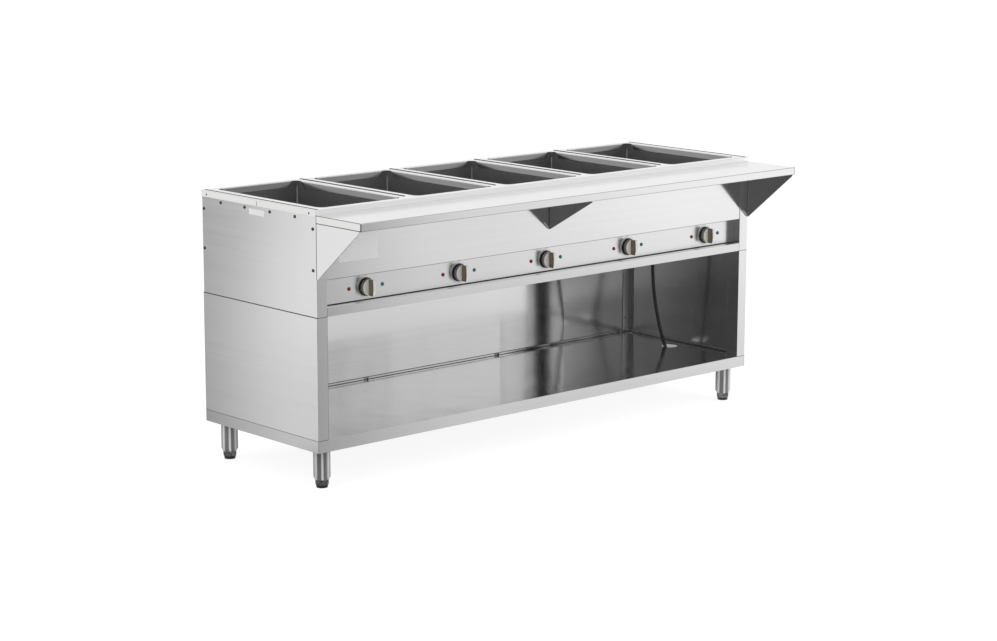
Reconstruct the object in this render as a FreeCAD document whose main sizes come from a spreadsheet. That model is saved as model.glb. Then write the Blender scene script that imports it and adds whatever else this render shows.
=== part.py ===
"""Five-well electric steam table on an open cabinet base, with a serving shelf along its front.

Millimetres. +Z is up, the customer side with the shelf and the dials faces -Y, and the origin is
on the floor under the middle of the table, shelf included. The table is an assembly: an upper
module of folded sheet with the wells and their controls stands on an open cabinet on four legs.
"""
import FreeCAD, Part
import math
import os
import re
import Sketcher

Vector = FreeCAD.Vector

# ---------------------------------------------------------------- driving dimensions
SIZES = [
    # whole table
    ("body_width", 1829.0, "left to right, over the deck"),
    ("body_depth", 558.8, "front plane to back, without the shelf"),
    ("shelf_depth", 203.2, "serving shelf in front of the front plane"),
    ("leg_height", 117.5, "floor to the underside of the base"),
    ("cabinet_height", 400.0, "underside of the base to the seam under the upper module"),
    ("body_height", 714.5, "underside of the base to the top of the deck"),
    ("gauge", 1.2, "sheet thickness of every folded panel"),
    ("post_width", 37.5, "front return of the side panels"),
    ("flange", 15.0, "width of the plain joining flanges"),
    # base
    ("apron_height", 36.0, "folded edge of the undershelf"),
    ("apron_hem", 12.0, "inward fold at the foot of the aprons"),
    ("cabinet_return", 50.0, "inner return of the lower posts"),
    ("back_lip", 8.0, "upstand along the back and the sides of the undershelf"),
    ("corner_leg", 25.0, "legs of the angle in each back corner"),
    ("corner_gauge", 1.5, "thickness of the corner angle"),
    ("stiffener_width", 60.0, "top-hat stiffener under the undershelf"),
    ("stiffener_depth", 22.0, "height of that stiffener"),
    ("stiffener_foot", 14.0, "its welded feet"),
    # front of the upper module
    ("rail_height", 26.0, "lower front rail"),
    ("rail_return", 34.0, "depth of the rail and of the upper posts' inner returns"),
    ("panel_height", 81.5, "control panel, rail to fascia"),
    ("panel_recess", 30.8, "control panel behind the front plane"),
    ("panel_flange", 12.0, "control panel's folded edges"),
    ("fascia_return", 45.0, "bottom return of the fascia"),
    # deck and wells
    ("deck_lip", 20.0, "folded edge of the deck at the sides and the back"),
    ("deck_front_lip", 15.2, "folded edge of the deck above the shelf"),
    ("bend_radius", 2.5, "outside radius of the folded edges"),
    ("well_count", 5.0, "wells in a row"),
    ("well_pitch", 362.0, "centre to centre"),
    ("well_width", 305.0, "opening for a full-size pan, left to right"),
    ("well_length", 508.0, "the same opening, front to back"),
    ("well_setback", 27.4, "front plane to the opening"),
    ("well_corner", 20.0, "corner radius of the opening"),
    ("well_skirt", 19.0, "depth of the folded skirts of the opening"),
    ("skirt_taper", 20.0, "draw-in of a skirt's ends towards its foot"),
    ("skirt_lean", 10.0, "degrees by which a skirt leans into the well"),
    ("well_depth", 178.0, "deck top to the floor of the well"),
    ("liner_gauge", 1.0, "sheet of the well liner"),
    ("liner_gap", 2.8, "skirt to liner"),
    ("liner_rim", 10.0, "rim of the liner under the deck"),
    ("seam_width", 1.0, "joint line between two wells"),
    ("seam_depth", 0.5, "depth of that line"),
    ("seam_stop", 50.0, "front plane to the end of the joint line"),
    ("blanket", 12.0, "insulation round the liner"),
    ("blanket_drop", 60.0, "deck top to the upper edge of the insulation"),
    ("fit_gap", 0.3, "clearance between parts that only lie together"),
    # heating element
    ("element_dia", 8.5, "sheathed tubular element"),
    ("element_lift", 20.0, "well floor to the underside of the element"),
    ("element_reach", 120.0, "outer run of the element from the middle of the well"),
    ("element_inner", 60.0, "inner run of the element from the middle"),
    ("lead_spread", 40.0, "cold ends of the element from the middle"),
    ("lead_setback", 60.0, "opening's front edge to the cold ends"),
    ("element_end", 40.0, "opening's back edge to the hairpins"),
    ("hairpin_gap", 75.0, "cold ends to the middle loop"),
    ("lead_drop", 22.0, "cold ends below the well floor"),
    ("element_bend", 15.0, "bend radius of the cold ends"),
    ("support_width", 22.0, "saddle under the element"),
    ("support_gauge", 1.5, "strip of the saddle"),
    ("lead_gap", 2.0, "cold ends in the insulation's holes"),
    # shelf and brackets
    ("shelf_lip", 24.1, "folded edge of the serving shelf"),
    ("shelf_hem", 14.0, "inward fold under the shelf"),
    ("bracket_gauge", 2.0, "plate of the shelf brackets"),
    ("bracket_reach", 195.0, "end brackets, front to back"),
    ("bracket_drop", 162.0, "end brackets, top to bottom"),
    ("middle_reach", 190.0, "middle bracket, front to back"),
    ("middle_drop", 110.0, "middle bracket, top to bottom"),
    ("bracket_flange", 23.0, "fixing flanges of the brackets"),
    ("bracket_blunt", 6.0, "blunt tips of the brackets"),
    # controls
    ("control_shift", 15.0, "middle dial to the right of the table's middle"),
    ("control_height", 39.0, "dial axis above the rail"),
    ("lamp_spacing", 63.0, "dial axis to each pilot lamp"),
    ("lamp_dia", 11.5, "pilot lens"),
    ("lamp_stem", 8.5, "threaded stem of the lamp"),
    ("lamp_rim", 1.0, "straight rim of the lens"),
    ("lamp_dome", 3.5, "lens in front of its rim"),
    ("lamp_depth", 22.0, "lamp behind the panel"),
    ("dial_dia", 66.0, "dial plate"),
    ("dial_gauge", 1.0, "dial plate thickness"),
    ("shaft_dia", 6.0, "control shaft"),
    ("running_gap", 0.05, "radial clearance of the shaft in its bushing"),
    ("bushing_dia", 10.0, "bushing of the heat control"),
    ("bushing_length", 5.5, "bushing in front of the panel's back face"),
    ("control_width", 44.0, "heat control body"),
    ("control_foot", 16.0, "its underside below the axis"),
    ("control_head", 14.0, "its top above the axis"),
    ("control_depth", 34.0, "heat control body behind the panel"),
    ("tab_pitch", 12.0, "spacing of its push-on tabs"),
    ("tab_width", 6.3, "push-on tab"),
    ("tab_gauge", 0.8, "push-on tab"),
    ("tab_length", 8.0, "push-on tab behind the control"),
    ("shaft_insert", 16.0, "shaft behind the panel's back face"),
    ("shaft_reach", 24.0, "shaft in front of the panel"),
    ("shaft_flat", 14.0, "length of the flat at the shaft's end"),
    ("knob_gap", 1.5, "panel to the back of the dial"),
    ("recess_gap", 2.0, "bushing to the hollow in the back of the dial"),
    ("skirt_dia", 56.0, "dial skirt"),
    ("skirt_rise", 8.0, "front of the skirt in front of the panel"),
    ("skirt_bevel", 1.5, "slope of the skirt's edge"),
    ("knob_dia", 49.0, "metal body of the dial"),
    ("knob_face", 18.5, "face of the metal body in front of the panel"),
    ("grip_width", 8.0, "grip bar"),
    ("grip_length", 48.0, "grip bar, end to end"),
    ("grip_peak", 41.0, "crown of the grip bar in front of the panel"),
    ("grip_ends", 38.5, "ends of the grip bar in front of the panel"),
    ("grip_root", 1.0, "grip bar let into the metal body"),
    # legs
    ("leg_inset", 50.0, "leg axis from the two outer faces"),
    ("leg_dia", 50.8, "leg tube"),
    ("leg_wall", 1.5, "wall of the tube"),
    ("leg_clear", 25.0, "floor to the end of the tube"),
    ("leg_taper", 4.0, "draw-in at the end of the tube, over twice that height"),
    ("leg_nut", 20.0, "threaded insert in the end of the tube"),
    ("socket_plate", 90.0, "square mounting plate over the leg"),
    ("socket_gauge", 3.0, "thickness of that plate"),
    ("socket_collar", 28.0, "collar round the top of the leg"),
    ("socket_wall", 3.0, "wall of the collar"),
    ("collar_gap", 0.1, "leg in its collar"),
    ("foot_dia", 40.0, "adjustable foot"),
    ("foot_sole", 34.0, "sole of the foot"),
    ("sole_height", 3.0, "straight rim of the sole"),
    ("foot_flare", 9.0, "height over which the foot widens above that rim"),
    ("stem_dia", 16.0, "threaded stem of the foot"),
    ("stem_top", 78.0, "top of the stem above the floor"),
    # supply
    ("cord_dia", 12.0, "supply cord"),
    ("gland_x", 771.0, "cord gland, right of the middle"),
    ("gland_y", 122.2, "cord gland, behind the middle"),
    ("gland_hex", 28.0, "gland nut across flats"),
    ("gland_nut", 20.0, "height of the gland nut"),
    ("gland_thread", 20.0, "thread through the belly pan"),
    ("gland_sleeve", 50.0, "seam to the tip of the strain relief"),
    ("gland_inside", 14.0, "thread above the seam"),
    ("gland_locknut", 5.0, "locknut on the belly pan"),
    ("sleeve_lip", 1.0, "wall of both strain reliefs at their tips"),
    ("hole_x", 838.5, "cord hole in the undershelf"),
    ("hole_y", 101.0, "the same hole, front to back"),
    ("hole_dia", 55.0, "cord hole"),
    ("block_length", 90.0, "terminal block"),
    ("block_width", 34.0, "terminal block, front to back"),
    ("block_height", 26.0, "terminal block, over its barriers"),
    ("block_base", 13.0, "floor of the terminal block"),
    ("block_offset", 60.0, "gland's axis to the terminal block"),
    ("barrier_count", 5.0, "barriers of the terminal block"),
    ("barrier_gauge", 4.0, "each barrier"),
    ("coil_x", 640.0, "middle of the stored coil"),
    ("coil_y", 287.0, "the same, front to back"),
    ("coil_radius", 70.0, "middle of the coil's turns"),
    ("plug_x", 735.0, "back of the plug's sleeve"),
    ("plug_y", 353.5, "axis of the plug"),
    ("plug_z", 17.5, "axis of the plug above the floor"),
    ("plug_dia", 35.0, "plug body"),
    ("plug_sleeve", 22.0, "plug's strain relief"),
    ("plug_body", 40.0, "plug body"),
    ("plug_waist", 2.0, "grip of the plug drawn in behind its rim"),
    ("plug_rim", 11.0, "rim round the plug's face"),
    ("pin_length", 19.0, "contact pins"),
    ("blade_spacing", 12.0, "middle to middle of the two blades"),
    ("blade_gauge", 1.5, "blade thickness"),
    ("blade_width", 6.4, "blade width"),
    ("earth_offset", 9.0, "plug's axis to the earth pin"),
    ("earth_dia", 4.8, "round earth pin"),
]

doc = FreeCAD.newDocument("steam_table")
sizes = doc.addObject("Spreadsheet::Sheet", "Sizes")
for row, (alias, number, meaning) in enumerate(SIZES, 1):
    sizes.set(f"A{row}", alias)
    sizes.set(f"B{row}", str(number))
    sizes.set(f"C{row}", meaning)
    sizes.setAlias(f"B{row}", alias)
doc.recompute()
ALIASES = {alias for alias, _, _ in SIZES}

# Places that several pieces share, as formulas of the sheet's cells.
SIDE = "(body_width / 2)"
FRONT = "((shelf_depth - body_depth) / 2)"
BACK = "((shelf_depth + body_depth) / 2)"
BASE = "leg_height"
FLOOR = "(leg_height + apron_height)"
SEAM = "(leg_height + cabinet_height)"
DECK = "(leg_height + body_height)"
SHELF_TOP = f"({DECK} - deck_front_lip)"
SHELF_FOOT = f"({SHELF_TOP} - shelf_lip)"
RAIL_TOP = f"({SEAM} + rail_height)"
FASCIA_FOOT = f"({RAIL_TOP} + panel_height)"
PANEL = f"({FRONT} + panel_recess)"
DIAL_Z = f"({RAIL_TOP} + control_height)"
WELL_FRONT = f"({FRONT} + well_setback)"
WELL_BACK = f"({WELL_FRONT} + well_length)"
WELL_FLOOR = f"({DECK} - well_depth)"
FIRST_WELL = "((1 - well_count) / 2 * well_pitch)"
FIRST_DIAL = f"(control_shift + {FIRST_WELL})"
LINER_X = "(well_width / 2 + liner_gap + liner_gauge)"
LINER_FRONT = f"({WELL_FRONT} - liner_gap - liner_gauge)"
LINER_BACK = f"({WELL_BACK} + liner_gap + liner_gauge)"
LEAD_Y = f"({WELL_FRONT} + lead_setback)"
ELEMENT_Z = f"({WELL_FLOOR} + element_lift + element_dia / 2)"
LEG_X = f"({SIDE} - leg_inset)"
LEG_FRONT = f"({FRONT} + leg_inset)"
LEG_BACK = f"({BACK} - leg_inset)"
SOCKET_Z = f"({FLOOR} - gauge - socket_gauge)"
UNDER_BEND = f"({DECK} - bend_radius)"

NODES = []


# ---------------------------------------------------------------- small modelling vocabulary
def linked(formula):
    """The formula with each alias written as a reference to the sheet."""
    return re.sub(r"[a-z_]+", lambda word: "Sizes." + word[0] if word[0] in ALIASES else word[0], formula)


def value(formula):
    """The formula's present value."""
    return float(sizes.evalExpression(formula))


def bind(item, prop, formula):
    item.setExpression(prop, linked(formula))


def finish(item, name):
    """Registers an object as the sub-part called name."""
    item.Label = name
    NODES.append(item)
    return item


def new_body(name):
    return finish(doc.addObject("PartDesign::Body", name), name)


def origin_item(body, role):
    return next(item for item in body.Origin.OriginFeatures if item.Role == role)


def new_sketch(body, name, plane, start):
    """A sketch on one of the body's own origin planes, moved along that plane's positive axis."""
    sketch = body.newObject("Sketcher::SketchObject", f"{body.Name}_{name}_sketch")
    sketch.AttachmentSupport = (origin_item(body, f"{plane}_Plane"), "")
    sketch.MapMode = "FlatFace"
    direction = "-1" if plane == "XZ" else "1"
    bind(sketch, "AttachmentOffset.Base.z", f"{direction} * ({start})")
    return sketch


def fix_point(sketch, line, end, x, y):
    """Holds one end of a line at two formulas."""
    for kind, formula in (("DistanceX", x), ("DistanceY", y)):
        index = sketch.addConstraint(Sketcher.Constraint(kind, -1, 1, line, end, value(formula)))
        bind(sketch, f"Constraints[{index}]", formula)


def draw_outline(sketch, corners):
    """A closed outline of straight lines through corners given as pairs of formulas."""
    spots = [Vector(value(x), value(y), 0) for x, y in corners]
    first = sketch.GeometryCount
    count = len(spots)
    for index in range(count):
        sketch.addGeometry(Part.LineSegment(spots[index], spots[(index + 1) % count]), False)
    for index in range(count):
        after = first + (index + 1) % count
        sketch.addConstraint(Sketcher.Constraint("Coincident", first + index, 2, after, 1))
    for index, (x, y) in enumerate(corners):
        fix_point(sketch, first + index, 1, x, y)


def draw_circle(sketch, x, y, diameter):
    centre = Vector(value(x), value(y), 0)
    line = sketch.addGeometry(Part.Circle(centre, Vector(0, 0, 1), value(diameter) / 2))
    fix_point(sketch, line, 3, x, y)
    index = sketch.addConstraint(Sketcher.Constraint("Diameter", line, value(diameter)))
    bind(sketch, f"Constraints[{index}]", diameter)


def rectangle(x0, x1, y0, y1):
    return [(x0, y0), (x1, y0), (x1, y1), (x0, y1)]


def extrude(body, kind, name, plane, start, length, outlines, circles):
    """Draws outlines and circles at start and carries them towards the plane's positive axis."""
    sketch = new_sketch(body, name, plane, start)
    for corners in outlines:
        draw_outline(sketch, corners)
    for x, y, diameter in circles:
        draw_circle(sketch, x, y, diameter)
    feature = body.newObject(f"PartDesign::{kind}", f"{body.Name}_{name}")
    feature.Profile = sketch
    bind(feature, "Length", length)
    feature.Reversed = (plane == "XZ") != (kind == "Pocket")
    body.Tip = feature
    doc.recompute()
    return feature


def pad(body, name, plane, start, length, outlines=(), circles=()):
    return extrude(body, "Pad", name, plane, start, length, outlines, circles)


def pocket(body, name, plane, start, length, outlines=(), circles=()):
    before = body.Tip.Shape.Volume
    feature = extrude(body, "Pocket", name, plane, start, length, outlines, circles)
    if not feature.Shape.Volume < before:
        raise ValueError(f"{feature.Name} removes nothing")
    return feature


def repeat(body, name, features, axis, pitch, count):
    """Repeats features along one of the body's axes."""
    pattern = body.newObject("PartDesign::LinearPattern", f"{body.Name}_{name}")
    pattern.Originals = features
    pattern.Direction = (origin_item(body, f"{axis}_Axis"), [""])
    bind(pattern, "Length", f"({pitch}) * ({count} - 1)")
    bind(pattern, "Occurrences", count)
    body.Tip = pattern
    doc.recompute()
    return pattern


def revolve(body, name, profile, plane="XZ"):
    """Turns a profile of (radius, height) corners round the sketch's upright axis."""
    sketch = new_sketch(body, name, plane, "0")
    draw_outline(sketch, profile)
    feature = body.newObject("PartDesign::Revolution", f"{body.Name}_{name}")
    feature.Profile = sketch
    feature.ReferenceAxis = (sketch, ["V_Axis"])
    feature.Angle = 360
    body.Tip = feature
    doc.recompute()
    return feature


def fillet(body, name, picks, radius):
    """Rounds the edges of the body's tip that picks accepts."""
    base = body.Tip
    edges = [f"Edge{number}" for number, edge in enumerate(base.Shape.Edges, 1) if picks(edge)]
    feature = body.newObject("PartDesign::Fillet", f"{body.Name}_{name}")
    feature.Base = (base, edges)
    bind(feature, "Radius", radius)
    body.Tip = feature
    doc.recompute()
    return feature


def hollow(body, name, direction, thickness):
    """Shells the body's tip inwards and leaves out the faces that look along direction."""
    base = body.Tip
    open_faces = []
    for number, face in enumerate(base.Shape.Faces, 1):
        if face.Surface.TypeId == "Part::GeomPlane" and face.normalAt(0, 0).dot(direction) > 0.99:
            open_faces.append(f"Face{number}")
    feature = body.newObject("PartDesign::Thickness", f"{body.Name}_{name}")
    feature.Base = (base, open_faces)
    bind(feature, "Value", thickness)
    feature.Reversed = True
    body.Tip = feature
    doc.recompute()
    return feature


def place(item, x="0", y="0", z="0"):
    for axis, formula in (("x", x), ("y", y), ("z", z)):
        bind(item, f"Placement.Base.{axis}", formula)


def is_level(edge, height):
    """True for an edge that lies at one height."""
    box = edge.BoundBox
    return abs(box.ZMin - height) < 1e-3 and abs(box.ZMax - height) < 1e-3


def is_upright(edge):
    box = edge.BoundBox
    return box.ZLength > 1 and box.XLength < 1e-3 and box.YLength < 1e-3


# ---------------------------------------------------------------- base cabinet
def make_undershelf():
    """A tray turned down all round, with a hem, a cord hole and a low upstand on three sides."""
    body = new_body("undershelf")
    plan = rectangle(f"-1 * {SIDE}", SIDE, FRONT, BACK)
    pad(body, "tray", "XY", BASE, "apron_height", [plan])
    hollow(body, "sheet", Vector(0, 0, -1), "gauge")
    outer = rectangle(f"gauge - {SIDE}", f"{SIDE} - gauge", f"{FRONT} + gauge", f"{BACK} - gauge")
    inner = rectangle(
        f"apron_hem - {SIDE}", f"{SIDE} - apron_hem", f"{FRONT} + apron_hem", f"{BACK} - apron_hem"
    )
    pad(body, "hem", "XY", BASE, "gauge", [outer, inner])
    end = f"{FRONT} + cabinet_return + gauge"
    lip = [
        (f"gauge - {SIDE}", end),
        (f"gauge - {SIDE}", f"{BACK} - gauge"),
        (f"{SIDE} - gauge", f"{BACK} - gauge"),
        (f"{SIDE} - gauge", end),
        (f"{SIDE} - 2 * gauge", end),
        (f"{SIDE} - 2 * gauge", f"{BACK} - 2 * gauge"),
        (f"2 * gauge - {SIDE}", f"{BACK} - 2 * gauge"),
        (f"2 * gauge - {SIDE}", end),
    ]
    pad(body, "lip", "XY", FLOOR, "back_lip", [lip])
    hole = ("hole_x", "hole_y", "hole_dia")
    pocket(body, "cord_hole", "XY", f"{FLOOR} - 2 * gauge", "3 * gauge", circles=[hole])


def make_stiffeners():
    """Two top-hat sections welded under the undershelf, front to back between the aprons."""
    body = new_body("shelf_stiffeners")
    top = f"({FLOOR} - gauge)"
    low = f"({top} - stiffener_depth)"
    half = "(stiffener_width / 2)"
    middle = "(body_width / 6)"
    profile = [
        (f"{middle} - {half} - stiffener_foot", top),
        (f"{middle} - {half} - stiffener_foot", f"{top} - gauge"),
        (f"{middle} - {half}", f"{top} - gauge"),
        (f"{middle} - {half}", low),
        (f"{middle} + {half}", low),
        (f"{middle} + {half}", f"{top} - gauge"),
        (f"{middle} + {half} + stiffener_foot", f"{top} - gauge"),
        (f"{middle} + {half} + stiffener_foot", top),
        (f"{middle} + {half} - gauge", top),
        (f"{middle} + {half} - gauge", f"{low} + gauge"),
        (f"{middle} - {half} + gauge", f"{low} + gauge"),
        (f"{middle} - {half} + gauge", top),
    ]
    length = "body_depth - 2 * apron_hem - 2 * fit_gap"
    section = pad(body, "section", "XZ", f"{FRONT} + apron_hem + fit_gap", length, [profile])
    mirror = body.newObject("PartDesign::Mirrored", "shelf_stiffeners_pair")
    mirror.Originals = [section]
    mirror.MirrorPlane = (origin_item(body, "YZ_Plane"), [""])
    body.Tip = mirror
    doc.recompute()


def make_cabinet_side(name, side):
    """A side panel whose front edge folds into a post, with a joining flange at the top."""
    body = new_body(name)
    post = f"{side} * ({SIDE} - post_width)"
    web = f"{side} * ({SIDE} - post_width + gauge)"
    outside = f"{side} * {SIDE}"
    inside = f"{side} * ({SIDE} - gauge)"
    plan = [
        (outside, FRONT),
        (post, FRONT),
        (post, f"{FRONT} + cabinet_return"),
        (web, f"{FRONT} + cabinet_return"),
        (web, f"{FRONT} + gauge"),
        (inside, f"{FRONT} + gauge"),
        (inside, BACK),
        (outside, BACK),
    ]
    pad(body, "panel", "XY", FLOOR, "cabinet_height - apron_height", [plan])
    edge = f"{side} * ({SIDE} - gauge - flange)"
    flange = rectangle(edge, inside, f"{FRONT} + gauge", f"{BACK} - gauge")
    pad(body, "flange", "XY", f"{SEAM} - gauge", "gauge", [flange])


def make_cabinet_back():
    body = new_body("cabinet_back")
    width = f"({SIDE} - gauge)"
    sheet = rectangle(f"-1 * {width}", width, FLOOR, SEAM)
    pad(body, "panel", "XZ", f"{BACK} - gauge", "gauge", [sheet])
    ledge = f"({SIDE} - 2 * gauge - corner_leg)"
    flange = rectangle(f"-1 * {ledge}", ledge, f"{BACK} - gauge - flange", f"{BACK} - gauge")
    pad(body, "flange", "XY", f"{SEAM} - gauge", "gauge", [flange])


def make_corner_angles():
    """An angle in each back corner ties the side panel to the back panel."""
    body = new_body("corner_angles")
    outlines = []
    for side in ("-1", "1"):
        wall = f"{side} * ({SIDE} - gauge)"
        inner = f"{side} * ({SIDE} - gauge - corner_gauge)"
        tip = f"{side} * ({SIDE} - gauge - corner_leg)"
        back = f"{BACK} - gauge"
        outlines.append([
            (wall, back),
            (tip, back),
            (tip, f"{back} - corner_gauge"),
            (inner, f"{back} - corner_gauge"),
            (inner, f"{back} - corner_leg"),
            (wall, f"{back} - corner_leg"),
        ])
    height = "cabinet_height - apron_height - back_lip - gauge"
    pad(body, "angles", "XY", f"{FLOOR} + back_lip", height, outlines)


# ---------------------------------------------------------------- legs and feet
def leg_corners():
    return [
        ("front_left", f"-1 * {LEG_X}", LEG_FRONT),
        ("front_right", LEG_X, LEG_FRONT),
        ("back_left", f"-1 * {LEG_X}", LEG_BACK),
        ("back_right", LEG_X, LEG_BACK),
    ]


def make_leg_sockets():
    """Four plates welded under the undershelf, each with a collar that takes a leg."""
    body = new_body("leg_sockets")
    half = "(socket_plate / 2)"
    plates = []
    collars = []
    for _, x, y in leg_corners():
        plates.append(rectangle(f"{x} - {half}", f"{x} + {half}", f"{y} - {half}", f"{y} + {half}"))
        collars.append((x, y, "leg_dia + 2 * collar_gap + 2 * socket_wall"))
        collars.append((x, y, "leg_dia + 2 * collar_gap"))
    pad(body, "plates", "XY", SOCKET_Z, "socket_gauge", plates)
    pad(body, "collars", "XY", f"{SOCKET_Z} - socket_collar", "socket_collar", circles=collars)


def make_leg(name, x, y):
    """A tube with a tapered end and a threaded insert for the foot."""
    body = new_body(name)
    outer = "leg_dia / 2"
    inner = "leg_dia / 2 - leg_wall"
    bore = "stem_dia / 2 + running_gap"
    profile = [
        (bore, "leg_clear"),
        (f"{outer} - leg_taper", "leg_clear"),
        (outer, "leg_clear + 2 * leg_taper"),
        (outer, SOCKET_Z),
        (inner, SOCKET_Z),
        (inner, "leg_clear + leg_nut"),
        (bore, "leg_clear + leg_nut"),
    ]
    revolve(body, "tube", profile)
    place(body, x, y)


def make_foot(name, x, y):
    """A bullet foot on a threaded stem, screwed right in."""
    body = new_body(name)
    shoulder = "leg_clear - fit_gap"
    profile = [
        ("0", "0"),
        ("foot_sole / 2", "0"),
        ("foot_sole / 2", "sole_height"),
        ("foot_dia / 2", "sole_height + foot_flare"),
        ("foot_dia / 2", shoulder),
        ("stem_dia / 2", shoulder),
        ("stem_dia / 2", "stem_top"),
        ("0", "stem_top"),
    ]
    revolve(body, "turned", profile)
    place(body, x, y)


# ---------------------------------------------------------------- upper module, folded panels
def make_upper_side(name, side):
    """A side panel with its front post: deep in the control recess, plain above it."""
    body = new_body(name)
    outside = f"{side} * ({SIDE} - gauge)"
    inside = f"{side} * ({SIDE} - 2 * gauge)"
    post = f"{side} * ({SIDE} - post_width)"
    web = f"{side} * ({SIDE} - post_width + gauge)"
    back = f"{BACK} - gauge"
    recess = [
        (outside, FRONT),
        (post, FRONT),
        (post, f"{FRONT} + rail_return"),
        (web, f"{FRONT} + rail_return"),
        (web, f"{FRONT} + gauge"),
        (inside, f"{FRONT} + gauge"),
        (inside, back),
        (outside, back),
    ]
    plain = [
        (outside, FRONT),
        (post, FRONT),
        (post, f"{FRONT} + gauge"),
        (inside, f"{FRONT} + gauge"),
        (inside, back),
        (outside, back),
    ]
    wall = rectangle(outside, inside, f"{FRONT} + gauge", back)
    pad(body, "recess", "XY", SEAM, "rail_height + panel_height", [recess])
    pad(body, "post", "XY", FASCIA_FOOT, f"{SHELF_TOP} - {FASCIA_FOOT}", [plain])
    pad(body, "wall", "XY", SHELF_TOP, f"{UNDER_BEND} - {SHELF_TOP}", [wall])


def make_lower_rail():
    body = new_body("lower_rail")
    deep = f"{FRONT} + rail_return"
    section = [
        (FRONT, SEAM),
        (deep, SEAM),
        (deep, f"{SEAM} + gauge"),
        (f"{FRONT} + gauge", f"{SEAM} + gauge"),
        (f"{FRONT} + gauge", f"{RAIL_TOP} - gauge"),
        (deep, f"{RAIL_TOP} - gauge"),
        (deep, RAIL_TOP),
        (FRONT, RAIL_TOP),
    ]
    pad(body, "channel", "YZ", f"post_width - {SIDE}", "body_width - 2 * post_width", [section])


def make_control_panel():
    """The recessed panel, with one dial hole and two lamp holes for each well."""
    body = new_body("control_panel")
    rear = f"{PANEL} + gauge"
    deep = f"{rear} + panel_flange"
    section = [
        (PANEL, RAIL_TOP),
        (deep, RAIL_TOP),
        (deep, f"{RAIL_TOP} + gauge"),
        (rear, f"{RAIL_TOP} + gauge"),
        (rear, f"{FASCIA_FOOT} - gauge"),
        (deep, f"{FASCIA_FOOT} - gauge"),
        (deep, FASCIA_FOOT),
        (PANEL, FASCIA_FOOT),
    ]
    pad(body, "channel", "YZ", f"post_width - {SIDE}", "body_width - 2 * post_width", [section])
    holes = [
        (FIRST_DIAL, DIAL_Z, "bushing_dia + 2 * fit_gap"),
        (f"{FIRST_DIAL} - lamp_spacing", DIAL_Z, "lamp_stem + 2 * fit_gap"),
        (f"{FIRST_DIAL} + lamp_spacing", DIAL_Z, "lamp_stem + 2 * fit_gap"),
    ]
    cut = pocket(body, "holes", "XZ", f"{PANEL} - gauge", "3 * gauge", circles=holes)
    repeat(body, "hole_row", [cut], "X", "well_pitch", "well_count")


def make_fascia():
    body = new_body("fascia")
    face = f"{FRONT} + gauge"
    rear = f"{FRONT} + 2 * gauge"
    section = [
        (face, FASCIA_FOOT),
        (f"{FRONT} + fascia_return", FASCIA_FOOT),
        (f"{FRONT} + fascia_return", f"{FASCIA_FOOT} + gauge"),
        (rear, f"{FASCIA_FOOT} + gauge"),
        (rear, f"{UNDER_BEND} - gauge"),
        (f"{FRONT} + panel_flange", f"{UNDER_BEND} - gauge"),
        (f"{FRONT} + panel_flange", UNDER_BEND),
        (face, UNDER_BEND),
    ]
    pad(body, "channel", "YZ", f"2 * gauge - {SIDE}", "body_width - 4 * gauge", [section])


def make_upper_back():
    body = new_body("upper_back")
    width = f"({SIDE} - 2 * gauge)"
    sheet = rectangle(f"-1 * {width}", width, SEAM, UNDER_BEND)
    pad(body, "panel", "XZ", f"{BACK} - 2 * gauge", "gauge", [sheet])


def make_belly_pan():
    """The ceiling of the cabinet: a shallow tray that closes the upper module from below."""
    body = new_body("belly_pan")
    width = f"({SIDE} - 2 * gauge)"
    plan = rectangle(f"-1 * {width}", width, f"{FRONT} + rail_return", f"{BACK} - 2 * gauge")
    pad(body, "tray", "XY", SEAM, "flange", [plan])
    hollow(body, "sheet", Vector(0, 0, 1), "gauge")
    hole = ("gland_x", "gland_y", "gland_thread + 2 * fit_gap")
    pocket(body, "gland_hole", "XY", f"{SEAM} - gauge", "3 * gauge", circles=[hole])


# ---------------------------------------------------------------- deck, wells and elements
def draw_rounded_opening(sketch, x0, x1, y0, y1, radius):
    """A rectangle with round corners, each corner an arc tied to its own centre."""
    left, right, low, high = (value(item) for item in (x0, x1, y0, y1))
    size = value(radius)
    corners = [
        ((right - size, low + size), -90, f"({x1}) - {radius}", f"({y0}) + {radius}"),
        ((right - size, high - size), 0, f"({x1}) - {radius}", f"({y1}) - {radius}"),
        ((left + size, high - size), 90, f"({x0}) + {radius}", f"({y1}) - {radius}"),
        ((left + size, low + size), 180, f"({x0}) + {radius}", f"({y0}) + {radius}"),
    ]
    arcs = []
    for (x, y), turn, _, _ in corners:
        circle = Part.Circle(Vector(x, y, 0), Vector(0, 0, 1), size)
        begin = math.radians(turn)
        arcs.append(sketch.addGeometry(Part.ArcOfCircle(circle, begin, begin + math.pi / 2), False))
    lines = []
    for index in range(4):
        start = sketch.getPoint(arcs[index], 2)
        end = sketch.getPoint(arcs[(index + 1) % 4], 1)
        lines.append(sketch.addGeometry(Part.LineSegment(start, end), False))
    for index in range(4):
        after = arcs[(index + 1) % 4]
        sketch.addConstraint(Sketcher.Constraint("Tangent", arcs[index], 2, lines[index], 1))
        sketch.addConstraint(Sketcher.Constraint("Tangent", lines[index], 2, after, 1))
    for arc, (_, _, x, y) in zip(arcs, corners):
        fix_point(sketch, arc, 3, x, y)
    index = sketch.addConstraint(Sketcher.Constraint("Radius", arcs[0], size))
    bind(sketch, f"Constraints[{index}]", radius)


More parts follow.
